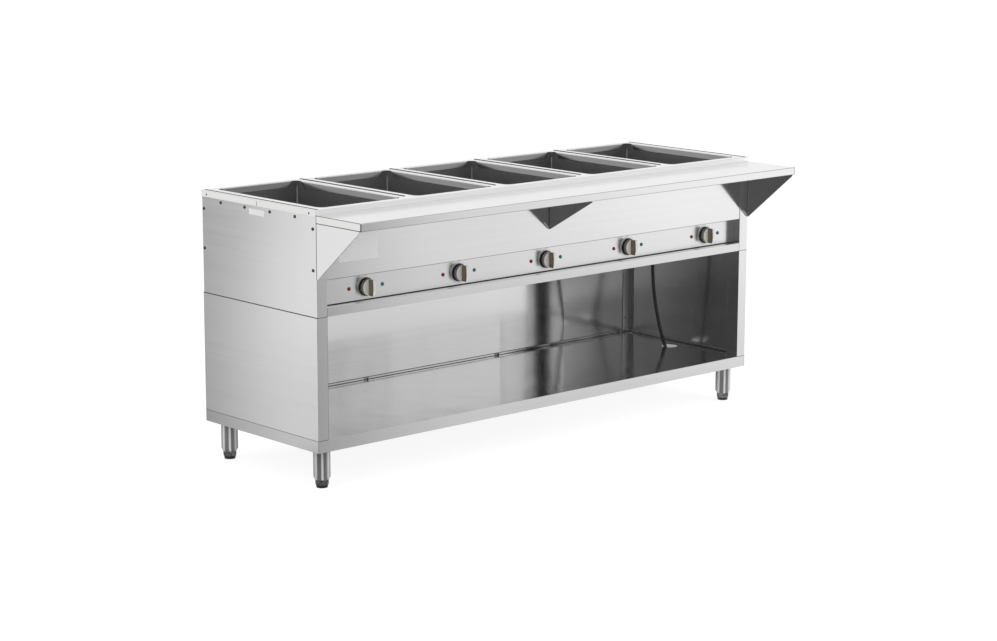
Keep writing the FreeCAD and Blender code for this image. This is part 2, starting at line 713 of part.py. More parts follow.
def make_deck():
    """The top sheet: edges folded down, five skirted openings and a joint line between wells."""
    body = new_body("deck_top")
    plan = rectangle(f"-1 * {SIDE}", SIDE, FRONT, BACK)
    pad(body, "block", "XY", f"{DECK} - deck_lip", "deck_lip", [plan])
    top = value(DECK)
    fillet(body, "rounded_edges", lambda edge: is_level(edge, top), "bend_radius")
    hollow(body, "sheet", Vector(0, 0, -1), "gauge")
    shorter = rectangle(f"-1 * {SIDE} - 1", f"{SIDE} + 1", f"{FRONT} - 1", f"{FRONT} + gauge")
    pocket(body, "front_edge", "XY", f"{DECK} - deck_lip - 1", "deck_lip - deck_front_lip + 1", [shorter])

    left = f"({FIRST_WELL} - well_width / 2)"
    right = f"({FIRST_WELL} + well_width / 2)"
    sketch = new_sketch(body, "opening", "XY", f"{DECK} - 2 * gauge")
    draw_rounded_opening(sketch, left, right, WELL_FRONT, WELL_BACK, "well_corner")
    opening = body.newObject("PartDesign::Pocket", "deck_top_opening")
    opening.Profile = sketch
    opening.Reversed = True
    bind(opening, "Length", "3 * gauge")
    body.Tip = opening
    doc.recompute()

    skirts = [
        make_skirt(body, "skirt_front", "XZ", f"{WELL_FRONT} - gauge", "skirt_lean", left, right),
        make_skirt(body, "skirt_back", "XZ", WELL_BACK, "-1 * skirt_lean", left, right),
        make_skirt(body, "skirt_left", "YZ", f"{left} - gauge", "-1 * skirt_lean", WELL_FRONT, WELL_BACK),
        make_skirt(body, "skirt_right", "YZ", right, "skirt_lean", WELL_FRONT, WELL_BACK),
    ]
    repeat(body, "well_row", [opening] + skirts, "X", "well_pitch", "well_count")

    joint_x = f"{FIRST_WELL} + well_pitch / 2"
    line_left, line_right = f"{joint_x} - seam_width / 2", f"{joint_x} + seam_width / 2"
    line = rectangle(line_left, line_right, f"{FRONT} + seam_stop", f"{BACK} + 1")
    groove = pocket(body, "joint_line", "XY", f"{DECK} - seam_depth", "1", [line])
    repeat(body, "joint_row", [groove], "X", "well_pitch", "(well_count - 1)")


def make_skirt(body, name, plane, start, lean, low, high):
    """A strip that hangs from the middle of the sheet between two corners of an opening."""
    sketch = new_sketch(body, name, plane, start)
    offset = sketch.AttachmentOffset.Base
    sketch.AttachmentOffset = FreeCAD.Placement(offset, FreeCAD.Rotation(Vector(1, 0, 0), value(lean)))
    bind(sketch, "AttachmentOffset.Base.y", f"{DECK} - gauge / 2")
    bind(sketch, "AttachmentOffset.Rotation.Angle", lean)
    outline = [
        (f"{low} + well_corner", "0"),
        (f"{high} - well_corner", "0"),
        (f"{high} - well_corner - skirt_taper", "0 - well_skirt"),
        (f"{low} + well_corner + skirt_taper", "0 - well_skirt"),
    ]
    draw_outline(sketch, outline)
    strip = body.newObject("PartDesign::Pad", f"deck_top_{name}")
    strip.Profile = sketch
    bind(strip, "Length", "gauge")
    strip.Reversed = plane == "XZ"
    body.Tip = strip
    doc.recompute()
    return strip


def make_liner(number, x):
    """A welded pan under each opening, with a rim that meets the deck from below."""
    body = new_body(f"well_liner_{number}")
    bottom = f"({WELL_FLOOR} - liner_gauge)"
    rim_top = f"({DECK} - gauge)"
    plan = rectangle(f"-1 * {LINER_X}", LINER_X, LINER_FRONT, LINER_BACK)
    pad(body, "pan", "XY", bottom, f"{rim_top} - {bottom}", [plan])
    hollow(body, "sheet", Vector(0, 0, 1), "liner_gauge")
    middle = "(liner_gauge / 2)"
    inner = rectangle(
        f"{middle} - {LINER_X}",
        f"{LINER_X} - {middle}",
        f"{LINER_FRONT} + {middle}",
        f"{LINER_BACK} - {middle}",
    )
    outer = rectangle(
        f"-1 * {LINER_X} - liner_rim",
        f"{LINER_X} + liner_rim",
        f"{LINER_FRONT} - liner_rim",
        f"{LINER_BACK} + liner_rim",
    )
    pad(body, "rim", "XY", f"{rim_top} - liner_gauge", "liner_gauge", [outer, inner])
    leads = [(f"{side} * lead_spread", LEAD_Y, "element_dia + 2 * fit_gap") for side in ("-1", "1")]
    pocket(body, "lead_holes", "XY", f"{bottom} - 1", "liner_gauge + 2", circles=leads)
    place(body, x)


def make_insulation():
    """A moulded blanket round each liner, open at the top, with holes for the element's leads."""
    body = new_body("well_insulation")
    inner_x = f"({LINER_X} + fit_gap)"
    inner_front = f"({LINER_FRONT} - fit_gap)"
    inner_back = f"({LINER_BACK} + fit_gap)"
    cavity_z = f"({WELL_FLOOR} - liner_gauge - fit_gap)"
    bottom = f"({cavity_z} - blanket)"
    x = FIRST_WELL
    outer = rectangle(
        f"{x} - {inner_x} - blanket",
        f"{x} + {inner_x} + blanket",
        f"{inner_front} - blanket",
        f"{inner_back} + blanket",
    )
    cavity = rectangle(f"{x} - {inner_x}", f"{x} + {inner_x}", inner_front, inner_back)
    height = f"{DECK} - blanket_drop - {bottom}"
    features = [
        pad(body, "block", "XY", bottom, height, [outer]),
        pocket(body, "cavity", "XY", cavity_z, "well_depth", [cavity]),
        pocket(body, "lead_holes", "XY", f"{bottom} - 1", "blanket + 2", circles=[
            (f"{x} - lead_spread", LEAD_Y, "element_dia + 2 * lead_gap"),
            (f"{x} + lead_spread", LEAD_Y, "element_dia + 2 * lead_gap"),
        ]),
    ]
    repeat(body, "row", features, "X", "well_pitch", "well_count")


def bent_path(points, radii):
    """A wire of straight runs joined by tangent arcs, one radius for each inner point."""
    edges = []
    position = points[0]
    for index in range(1, len(points) - 1):
        corner = points[index]
        back = (position - corner).normalize()
        ahead = (points[index + 1] - corner).normalize()
        half_turn = (math.pi - back.getAngle(ahead)) / 2
        reach = radii[index - 1] * math.tan(half_turn)
        enter = corner + back * reach
        leave = corner + ahead * reach
        inward = (back + ahead).normalize()
        centre = corner + inward * (radii[index - 1] / math.cos(half_turn))
        if (enter - position).Length > 1e-4:
            edges.append(Part.LineSegment(position, enter).toShape())
        edges.append(Part.Arc(enter, centre - inward * radii[index - 1], leave).toShape())
        position = leave
    if (points[-1] - position).Length > 1e-4:
        edges.append(Part.LineSegment(position, points[-1]).toShape())
    return Part.Wire(edges)


def bar(path, diameter, sides=None):
    """A solid bar along a path, round or with a number of flat sides."""
    first = path.Edges[0]
    start = first.valueAt(first.FirstParameter)
    circle = Part.Circle(start, first.tangentAt(first.FirstParameter), diameter / 2)
    if sides:
        corners = [circle.value(2 * math.pi * (step + 0.5) / sides) for step in range(sides)]
        section = Part.makePolygon(corners + corners[:1])
    else:
        section = Part.Wire([circle.toShape()])
    return path.makePipeShell([section], True, False)


ELEMENT_SIDES = 8


def make_element(number, x):
    """A tubular element bent into two hairpins and a middle loop, its cold ends turned down."""
    lead, inner, outer = value("lead_spread"), value("element_inner"), value("element_reach")
    near, far = value(LEAD_Y), value(f"{WELL_BACK} - element_end")
    loop = value(f"{LEAD_Y} + hairpin_gap")
    level, end = value(ELEMENT_Z), value(f"{WELL_FLOOR} - lead_drop")
    half = [
        (lead, near, end),
        (lead, near, level),
        (outer, near, level),
        (outer, far, level),
        (inner, far, level),
        (inner, loop, level),
    ]
    points = [Vector(-px, py, pz) for px, py, pz in half]
    points += [Vector(px, py, pz) for px, py, pz in reversed(half)]
    hairpin = (outer - inner) / 2
    bend = value("element_bend")
    radii = [bend, 2 * bend, hairpin, hairpin, hairpin]
    name = f"heating_element_{number}"
    feature = finish(doc.addObject("Part::Feature", name), name)
    feature.Shape = bar(bent_path(points, radii + radii[::-1]), value("element_dia"), ELEMENT_SIDES)
    place(feature, x)


def make_element_saddles():
    """Two saddles on each well floor carry the element."""
    body = new_body("element_saddles")
    top = f"({WELL_FLOOR} + element_lift)"
    half = "(support_width / 2)"
    length = "2 * element_reach + 2 * element_dia"
    rows = []
    places = [("front", f"({LEAD_Y} + 1.5 * hairpin_gap)"), ("back", f"({WELL_BACK} - 2.5 * element_end)")]
    for name, middle in places:
        section = [
            (f"{middle} - {half}", WELL_FLOOR),
            (f"{middle} - {half} + support_gauge", WELL_FLOOR),
            (f"{middle} - {half} + support_gauge", f"{top} - support_gauge"),
            (f"{middle} + {half} - support_gauge", f"{top} - support_gauge"),
            (f"{middle} + {half} - support_gauge", WELL_FLOOR),
            (f"{middle} + {half}", WELL_FLOOR),
            (f"{middle} + {half}", top),
            (f"{middle} - {half}", top),
        ]
        start = f"{FIRST_WELL} - element_reach - element_dia"
        rows.append(pad(body, name, "YZ", start, length, [section]))
    repeat(body, "row", rows, "X", "well_pitch", "well_count")


# ---------------------------------------------------------------- serving shelf and brackets
def make_serving_shelf():
    """A folded tray, open below, with a hem along all four edges."""
    body = new_body("serving_shelf")
    plan = rectangle(f"-1 * {SIDE}", SIDE, f"{FRONT} - shelf_depth", FRONT)
    pad(body, "block", "XY", SHELF_FOOT, "shelf_lip", [plan])
    top, back = value(SHELF_TOP), value(FRONT)

    def outer_edge(edge):
        box = edge.BoundBox
        at_back = abs(box.YMin - back) < 1e-3
        return not at_back and (is_level(edge, top) or is_upright(edge))

    fillet(body, "rounded_edges", outer_edge, "bend_radius")
    hollow(body, "sheet", Vector(0, 0, -1), "gauge")
    edge = f"{FRONT} - shelf_depth"
    outer = rectangle(f"gauge - {SIDE}", f"{SIDE} - gauge", f"{edge} + gauge", f"{FRONT} - gauge")
    inner = rectangle(
        f"shelf_hem - {SIDE}", f"{SIDE} - shelf_hem", f"{edge} + shelf_hem", f"{FRONT} - shelf_hem"
    )
    pad(body, "hem", "XY", SHELF_FOOT, "gauge", [outer, inner])


def bracket_plate(reach, drop, back):
    return [
        (back, SHELF_FOOT),
        (f"{FRONT} - {reach}", SHELF_FOOT),
        (f"{FRONT} - {reach}", f"{SHELF_FOOT} - bracket_blunt"),
        (f"{back} - bracket_blunt", f"{SHELF_FOOT} - {drop}"),
        (back, f"{SHELF_FOOT} - {drop}"),
    ]


def make_bracket(name, plate_x, plate_start, inward, reach, drop, back):
    """A triangular plate with a flange under the shelf and one against the front of the body."""
    body = new_body(name)
    pad(body, "plate", "YZ", plate_start, "bracket_gauge", [bracket_plate(reach, drop, back)])
    edge = f"({plate_x} + {inward} * bracket_flange)"
    root = f"({plate_x} + {inward} * bracket_gauge)"
    fixing = [
        (root, SHELF_FOOT),
        (edge, SHELF_FOOT),
        (edge, f"{SHELF_FOOT} - {drop} + bracket_flange"),
        (root, f"{SHELF_FOOT} - {drop} + bracket_gauge"),
    ]
    pad(body, "fixing", "XZ", f"{back} - bracket_gauge", "bracket_gauge", [fixing])
    ledge = [
        (root, f"{back} - bracket_gauge"),
        (edge, f"{back} - bracket_gauge"),
        (edge, f"{FRONT} - {reach} + bracket_flange"),
        (root, f"{FRONT} - {reach} + bracket_gauge"),
    ]
    pad(body, "ledge", "XY", f"{SHELF_FOOT} - bracket_gauge", "bracket_gauge", [ledge])


# ---------------------------------------------------------------- controls
def make_heat_controls():
    """A rotary heat control behind the panel for each well, with bushing, bore and terminals."""
    body = new_body("heat_controls")
    rear = f"({PANEL} + gauge)"
    left = f"{FIRST_DIAL} - control_width / 2"
    right = f"{FIRST_DIAL} + control_width / 2"
    case = rectangle(left, right, f"{DIAL_Z} - control_foot", f"{DIAL_Z} + control_head")
    tabs = []
    for step in ("-1", "0", "1"):
        x = f"{FIRST_DIAL} + {step} * tab_pitch"
        low, high = f"{DIAL_Z} - tab_gauge / 2", f"{DIAL_Z} + tab_gauge / 2"
        tabs.append(rectangle(f"{x} - tab_width / 2", f"{x} + tab_width / 2", low, high))
    bushing = (FIRST_DIAL, DIAL_Z, "bushing_dia")
    bore = (FIRST_DIAL, DIAL_Z, "shaft_dia + 2 * running_gap")
    front = f"{rear} - bushing_length"
    features = [
        pad(body, "case", "XZ", rear, "control_depth", [case]),
        pad(body, "bushing", "XZ", front, "bushing_length + gauge", circles=[bushing]),
        pad(body, "tabs", "XZ", f"{rear} + control_depth - gauge", "gauge + tab_length", tabs),
        pocket(body, "bore", "XZ", front, "bushing_length + shaft_insert + fit_gap", circles=[bore]),
    ]
    repeat(body, "row", features, "X", "well_pitch", "well_count")


def make_dial_plates():
    """A thin disc behind each dial."""
    body = new_body("dial_plates")
    disc = (FIRST_DIAL, DIAL_Z, "dial_dia")
    hole = (FIRST_DIAL, DIAL_Z, "bushing_dia + 2 * fit_gap")
    plate = pad(body, "disc", "XZ", f"{PANEL} - dial_gauge", "dial_gauge", circles=[disc, hole])
    repeat(body, "row", [plate], "X", "well_pitch", "well_count")


def make_pilot_lamps(name, side):
    """Domed lenses in front of the panel, each with its stem through it."""
    body = new_body(name)
    crown = "(0 - lamp_rim - lamp_dome)"
    profile = [
        ("0", crown),
        ("lamp_dia / 4", f"{crown} + lamp_dome / 6"),
        ("lamp_dia * 0.4", f"{crown} + lamp_dome / 2"),
        ("lamp_dia / 2", "0 - lamp_rim"),
        ("lamp_dia / 2", "0"),
        ("lamp_stem / 2", "0"),
        ("lamp_stem / 2", "lamp_depth"),
        ("0", "lamp_depth"),
    ]
    lamp = revolve(body, "lens", profile, plane="XY")
    repeat(body, "row", [lamp], "X", "well_pitch", "well_count")
    place(body, f"{FIRST_DIAL} + {side} * lamp_spacing", PANEL, DIAL_Z)


def make_knob(number, x):
    """A skirted metal dial with a crowned grip bar across it and a blind bore for the shaft."""
    body = new_body(f"knob_{number}")
    skirt, knob = "skirt_dia / 2", "knob_dia / 2"
    profile = [
        ("0", "0 - knob_gap"),
        (skirt, "0 - knob_gap"),
        (f"{skirt} - skirt_bevel", "0 - skirt_rise"),
        (knob, "0 - skirt_rise"),
        (knob, "0 - knob_face"),
        ("0", "0 - knob_face"),
    ]
    revolve(body, "turned", profile, plane="XY")

    root, ends, peak = "grip_root - knob_face", "0 - grip_ends", "0 - grip_peak"
    half = "grip_length / 2"
    sketch = new_sketch(body, "grip", "YZ", "0 - grip_width / 2")
    corners = [(ends, f"0 - {half}"), (root, f"0 - {half}"), (root, half), (ends, half)]
    spots = [Vector(value(y), value(z), 0) for y, z in corners]
    for line in range(3):
        sketch.addGeometry(Part.LineSegment(spots[line], spots[line + 1]), False)
        fix_point(sketch, line, 1, *corners[line])
    fix_point(sketch, 2, 2, *corners[3])
    for line in (0, 1):
        sketch.addConstraint(Sketcher.Constraint("Coincident", line, 2, line + 1, 1))
    arc = sketch.addGeometry(Part.Arc(spots[3], Vector(value(peak), 0, 0), spots[0]), False)
    first_end = 1 if sketch.getPoint(arc, 1).isEqual(spots[3], 1e-6) else 2
    sketch.addConstraint(Sketcher.Constraint("Coincident", 2, 2, arc, first_end))
    sketch.addConstraint(Sketcher.Constraint("Coincident", 0, 1, arc, 3 - first_end))
    rise = "(grip_peak - grip_ends)"
    radius = f"(grip_length * grip_length / 4 + {rise} * {rise}) / (2 * {rise})"
    index = sketch.addConstraint(Sketcher.Constraint("Radius", arc, value(radius)))
    bind(sketch, f"Constraints[{index}]", radius)
    grip = body.newObject("PartDesign::Pad", f"{body.Name}_grip")
    grip.Profile = sketch
    bind(grip, "Length", "grip_width")
    body.Tip = grip
    doc.recompute()

    bore = ("0", "0", "shaft_dia + 2 * running_gap")
    recess = ("0", "0", "bushing_dia + 2 * recess_gap")
    pocket(body, "bore", "XZ", "0 - shaft_reach - fit_gap", "shaft_reach", circles=[bore])
    pocket(body, "recess", "XZ", "gauge - bushing_length - 2 * fit_gap", "bushing_length", circles=[recess])
    place(body, x, PANEL, DIAL_Z)


def make_shaft(number, x):
    """A round shaft with a flat where the dial pushes on."""
    body = new_body(f"control_shaft_{number}")
    length = "shaft_reach + gauge + shaft_insert"
    pad(body, "round", "XZ", "0 - shaft_reach", length, circles=[("0", "0", "shaft_dia")])
    beside = rectangle("0 - shaft_dia", "shaft_dia", "shaft_dia / 4", "shaft_dia")
    pocket(body, "flat", "XZ", "0 - shaft_reach", "shaft_flat", [beside])
    place(body, x, PANEL, DIAL_Z)


# ---------------------------------------------------------------- supply
def make_gland():
    """A hexagonal gland nut with a tapered strain relief below it and a thread through the pan."""
    body = new_body("cable_gland")
    thread = "gland_thread / 2"
    profile = [
        ("0", "0 - gland_sleeve"),
        ("cord_dia / 2 + sleeve_lip", "0 - gland_sleeve"),
        (thread, "0 - gland_nut"),
        (thread, "gland_inside"),
        ("0", "gland_inside"),
    ]
    revolve(body, "sleeve", profile)
    turns = [math.radians(60 * step + 30) for step in range(6)]
    corner = "gland_hex / sqrt(3)"
    hexagon = [(f"{corner} * {math.cos(turn):.6f}", f"{corner} * {math.sin(turn):.6f}") for turn in turns]
    pad(body, "nut", "XY", "0 - gland_nut", "gland_nut", [hexagon])
    pad(body, "locknut", "XY", "gauge", "gland_locknut", [hexagon])
    place(body, "gland_x", "gland_y", SEAM)


def make_terminal_block():
    """A barrier strip on the belly pan, beside the gland."""
    body = new_body("terminal_block")
    right = "(gland_x - block_offset)"
    left = f"({right} - block_length)"
    front, back = "gland_y - block_width / 2", "gland_y + block_width / 2"
    floor = f"({SEAM} + gauge)"
    pad(body, "base", "XY", floor, "block_base", [rectangle(left, right, front, back)])
    wall = rectangle(left, f"{left} + barrier_gauge", front, back)
    barrier = pad(body, "barrier", "XY", floor, "block_height", [wall])
    pitch = "(block_length - barrier_gauge) / (barrier_count - 1)"
    repeat(body, "barriers", [barrier], "X", pitch, "barrier_count")


# Route of the cord's free stretch, from the strain relief through the hole to the stored coil.
CORD_ROUTE = [
    (771.0, 122.2, 467.5),
    (771.0, 122.2, 417.5),
    (780.0, 121.2, 335.0),
    (795.0, 116.8, 252.0),
    (812.0, 110.6, 186.0),
    (828.5, 103.5, 137.0),
    (836.0, 110.0, 90.0),
    (834.0, 134.0, 50.0),
    (816.0, 168.0, 22.0),
    (782.0, 194.0, 9.0),
    (738.0, 207.0, 6.2),
    (687.0, 211.0, 6.2),
    (640.0, 211.0, 6.2),
]
# Route of the short tail from the coil's upper turn to the plug.
TAIL_ROUTE = [
    (640.0, 357.0, 17.5),
    (664.0, 357.0, 17.5),
    (708.0, 353.5, 17.5),
    (735.0, 353.5, 17.5),
]
ARC_SHARE = 0.45


def cord_tube(route):
    """A round tube along the route, each arc as large as its two runs allow."""
    points = [Vector(*spot) for spot in route]
    radii = []
    for before, corner, after in zip(points, points[1:], points[2:]):
        turn = (corner - before).getAngle(after - corner)
        shorter = min((corner - before).Length, (after - corner).Length)
        radii.append(ARC_SHARE * shorter / math.tan(turn / 2))
    path = bent_path(points, radii)
    diameter = value("cord_dia")
    tube = bar(path, diameter)
    section = math.pi * diameter ** 2 / 4
    print("cord radii", [round(radius) for radius in radii], "length", round(path.Length, 1),
          "volume over section x length", round(tube.Volume / section / path.Length, 5))
    return tube


def make_cord():
    cord = finish(doc.addObject("Part::Feature", "power_cord"), "power_cord")
    cord.Shape = Part.makeCompound([cord_tube(CORD_ROUTE), cord_tube(TAIL_ROUTE)])
    cord.Placement = FreeCAD.Placement()


def make_coil():
    """The outer shape of the coil: two turns side by side on the floor and one on top of them."""
    body = new_body("cord_coil")
    profile = [
        ("coil_radius - cord_dia", "0"),
        ("coil_radius + cord_dia", "0"),
        ("coil_radius + cord_dia", "cord_dia"),
        ("coil_radius + cord_dia / 2", "2 * cord_dia"),
        ("coil_radius - cord_dia / 2", "2 * cord_dia"),
        ("coil_radius - cord_dia", "cord_dia"),
    ]
    revolve(body, "turns", profile)
    place(body, "coil_x", "coil_y")


def make_plug():
    """A straight plug with two flat blades and a round earth pin."""
    body = new_body("power_plug")
    end = "(plug_sleeve + plug_body)"
    profile = [
        ("0", "0"),
        ("cord_dia / 2 + sleeve_lip", "0"),
        ("plug_dia / 4 + cord_dia / 4", "plug_sleeve"),
        ("plug_dia / 2 - plug_waist", f"{end} - plug_rim"),
        ("plug_dia / 2", f"{end} - plug_rim"),
        ("plug_dia / 2", end),
        ("0", end),
    ]
    revolve(body, "handle", profile, plane="XZ")
    blades = []
    for side in ("-1", "1"):
        middle = f"{side} * blade_spacing / 2"
        inner, outer = f"{middle} - blade_gauge / 2", f"{middle} + blade_gauge / 2"
        blades.append(rectangle(inner, outer, "0 - blade_width / 2", "blade_width / 2"))
    earth = ("0", "0 - earth_offset", "earth_dia")
    pad(body, "pins", "XY", f"{end} - gauge", "pin_length + gauge", blades, [earth])
    place(body, "plug_x", "plug_y", "plug_z")
    body.Placement = FreeCAD.Placement(body.Placement.Base, FreeCAD.Rotation(Vector(0, 1, 0), 90))


# ---------------------------------------------------------------- assembly
make_undershelf()
make_stiffeners()
make_cabinet_side("cabinet_side_left", "-1")
make_cabinet_side("cabinet_side_right", "1")
make_cabinet_back()
make_corner_angles()
make_leg_sockets()
for corner, leg_x, leg_y in leg_corners():
    make_leg(f"leg_{corner}", leg_x, leg_y)
    make_foot(f"foot_{corner}", leg_x, leg_y)

make_upper_side("upper_side_left", "-1")
make_upper_side("upper_side_right", "1")
make_lower_rail()
make_control_panel()
make_fascia()
make_upper_back()
make_belly_pan()

make_deck()
make_insulation()
make_element_saddles()
for well in range(int(value("well_count"))):
    well_x = f"({FIRST_WELL} + {well} * well_pitch)"
    dial_x = f"({FIRST_DIAL} + {well} * well_pitch)"
    make_liner(well + 1, well_x)
    make_element(well + 1, well_x)
    make_knob(well + 1, dial_x)
    make_shaft(well + 1, dial_x)

make_serving_shelf()
end_start = f"{SIDE} - bracket_gauge"
make_bracket("bracket_left", f"(-1 * {SIDE})", f"-1 * {SIDE}", "1", "bracket_reach", "bracket_drop", FRONT)
make_bracket("bracket_right", SIDE, end_start, "-1", "bracket_reach", "bracket_drop", FRONT)
middle_back = f"({FRONT} + gauge)"
middle_x, middle_start = "(bracket_gauge / 2)", "0 - bracket_gauge / 2"
make_bracket("bracket_middle", middle_x, middle_start, "-1", "middle_reach", "middle_drop", middle_back)

make_heat_controls()
make_dial_plates()
make_pilot_lamps("red_lamps", "-1")
make_pilot_lamps("green_lamps", "1")
make_gland()
make_terminal_block()
make_cord()
make_coil()
make_plug()

doc.recompute()
for item in doc.Objects:
    if "Invalid" in item.State or "Error" in item.State:
        raise ValueError(f"{item.Name} did not build: {item.State}")
os.makedirs("parts", exist_ok=True)
for item in NODES:
    if item.Shape.isNull() or not item.Shape.isValid():
        raise ValueError(f"{item.Label} has no valid shape")
for item in NODES:
    item.Shape.exportStep(f"parts/{item.Label}.step")
print(len(NODES), "sub-parts written")
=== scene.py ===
"""Looks of an electric steam table: brushed stainless sheet, dials, pilot lamps, cord and fittings.

Metres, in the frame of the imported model: +Z is up and the dials face -Y.
"""
import math

import bmesh
import bpy
from mathutils import Matrix, Vector


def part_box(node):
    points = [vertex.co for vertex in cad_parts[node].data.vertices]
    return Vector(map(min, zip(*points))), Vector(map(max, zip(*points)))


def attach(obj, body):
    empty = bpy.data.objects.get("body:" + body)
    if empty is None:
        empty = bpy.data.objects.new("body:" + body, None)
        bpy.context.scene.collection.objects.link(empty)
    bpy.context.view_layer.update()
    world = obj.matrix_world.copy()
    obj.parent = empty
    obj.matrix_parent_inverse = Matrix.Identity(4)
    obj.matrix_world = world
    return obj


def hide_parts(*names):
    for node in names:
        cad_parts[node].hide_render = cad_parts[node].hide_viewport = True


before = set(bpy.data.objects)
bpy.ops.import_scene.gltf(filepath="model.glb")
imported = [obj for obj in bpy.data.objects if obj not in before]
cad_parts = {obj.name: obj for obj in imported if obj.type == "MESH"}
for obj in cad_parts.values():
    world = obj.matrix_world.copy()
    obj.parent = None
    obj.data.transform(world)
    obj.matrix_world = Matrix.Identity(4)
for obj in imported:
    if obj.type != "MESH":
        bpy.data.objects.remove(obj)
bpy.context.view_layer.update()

MM = 0.001
BODY = "table"
WELLS = range(1, 6)
CORNERS = ("front_left", "front_right", "back_left", "back_right")

# ---------------------------------------------------------------- camera
IMAGE_WIDTH = 997
SENSOR_WIDTH = 36.0
FOCAL_LENGTH_PIXELS = 2416.8
CAMERA_PLACE = Vector((-5.0959, -5.5718, 1.8528))
CAMERA_YAW = 42.159
CAMERA_PITCH = -11.134
CAMERA_ROLL = 0.135


def make_camera():
    """A level-headed view from the front left, a little above the deck."""
    data = bpy.data.cameras.new("camera")
    data.sensor_width = SENSOR_WIDTH
    data.lens = FOCAL_LENGTH_PIXELS / IMAGE_WIDTH * SENSOR_WIDTH
    camera = bpy.data.objects.new("camera", data)
    turn = Matrix.Rotation(math.radians(-CAMERA_YAW), 4, "Z")
    tilt = Matrix.Rotation(math.radians(90 + CAMERA_PITCH), 4, "X")
    roll = Matrix.Rotation(math.radians(CAMERA_ROLL), 4, "Z")
    camera.matrix_world = Matrix.Translation(CAMERA_PLACE) @ turn @ tilt @ roll
    bpy.context.scene.collection.objects.link(camera)
    bpy.context.scene.camera = camera


# ---------------------------------------------------------------- node helpers
def new_material(name, colour, roughness, metallic=0.0):
    """A node material; colour, roughness and metallic are set on the shader's own sockets."""
    material = bpy.data.materials.new(name)
    material.use_nodes = True
    shader = material.node_tree.nodes["Principled BSDF"]
    shader.inputs["Base Color"].default_value = (*colour, 1)
    shader.inputs["Roughness"].default_value = roughness
    shader.inputs["Metallic"].default_value = metallic
    return material, material.node_tree, shader


def add_node(tree, kind, **settings):
    """A node with its settings."""
    node = tree.nodes.new(kind)
    for key, setting in settings.items():
        setattr(node, key, setting)
    return node


def feed(tree, socket, source):
    """Links a socket to another one, or sets it where the source is a number or a colour."""
    if isinstance(source, bpy.types.NodeSocket):
        tree.links.new(source, socket)
    else:
        socket.default_value = source


def math_node(tree, operation, first, second=0.0):
    """One sum, product or comparison of sockets or numbers."""
    node = add_node(tree, "ShaderNodeMath", operation=operation)
    feed(tree, node.inputs[0], first)
    feed(tree, node.inputs[1], second)
    return node.outputs["Value"]


def dot_product(tree, vector, other):
    """How far a vector goes along a fixed one."""
    node = add_node(tree, "ShaderNodeVectorMath", operation="DOT_PRODUCT")
    node.inputs[1].default_value = other
    tree.links.new(vector, node.inputs[0])
    return node.outputs["Value"]


def ramp(tree, value, source, target, shape="LINEAR"):
    """Carries the range source to the range target, with flat ends beyond it."""
    remap = add_node(tree, "ShaderNodeMapRange", interpolation_type=shape)
    for label, number in zip(("From Min", "From Max", "To Min", "To Max"), source + target):
        remap.inputs[label].default_value = number
    tree.links.new(value, remap.inputs["Value"])
    return remap.outputs["Result"]


def smooth_range(tree, value, source, target):
    """The same, with a smooth start and end."""
    return ramp(tree, value, source, target, "SMOOTHSTEP")


def spread(tree, noise, low, high):
    """Carries the middle of a noise's range to low..high."""
    return ramp(tree, noise, (0.3, 0.7), (low, high))


def within(tree, value, low, high):
    """1 between two limits and 0 outside them."""
    above = math_node(tree, "GREATER_THAN", value, low)
    return math_node(tree, "MULTIPLY", above, math_node(tree, "LESS_THAN", value, high))


def mix_node(tree, data_type, factor, first, second):
    """From first to second, each a socket or a fixed value."""
    mix = add_node(tree, "ShaderNodeMix", data_type=data_type)
    feed(tree, mix.inputs["Factor"], factor)
    feed(tree, mix.inputs["A"], first)
    feed(tree, mix.inputs["B"], second)
    return mix.outputs["Result"]


def mix_values(tree, factor, first, second):
    """A value between two others."""
    return mix_node(tree, "FLOAT", factor, first, second)


def mix_colours(tree, factor, first, second):
    """A colour between two others."""
    ends = [end if isinstance(end, bpy.types.NodeSocket) else (*end, 1) for end in (first, second)]
    return mix_node(tree, "RGBA", factor, *ends)


def tone_where(tree, shader, mask, colour):
    """Another base colour where the mask is 1."""
    socket = shader.inputs["Base Color"]
    tree.links.new(mix_colours(tree, mask, socket.links[0].from_socket, colour), socket)


def roughness_where(tree, shader, mask, roughness):
    """Another roughness where the mask is 1."""
    socket = shader.inputs["Roughness"]
    tree.links.new(mix_values(tree, mask, socket.links[0].from_socket, roughness), socket)


def stretched_noise(tree, scale, detail=2.0):
    """Noise in object space; scale holds its cells for each metre along X, Y and Z."""
    where = add_node(tree, "ShaderNodeTexCoord")
    mapping = add_node(tree, "ShaderNodeMapping")
    mapping.inputs["Scale"].default_value = scale
    noise = add_node(tree, "ShaderNodeTexNoise")
    noise.inputs["Scale"].default_value = 1.0
    noise.inputs["Detail"].default_value = detail
    tree.links.new(where.outputs["Object"], mapping.inputs["Vector"])
    tree.links.new(mapping.outputs["Vector"], noise.inputs["Vector"])
    return noise.outputs["Fac"]


def object_axes(tree, axes):
    """The named axes of object space, such as "XZ"."""
    where = add_node(tree, "ShaderNodeTexCoord")
    apart = add_node(tree, "ShaderNodeSeparateXYZ")
    tree.links.new(where.outputs["Object"], apart.inputs["Vector"])
    return [apart.outputs[axis] for axis in axes]


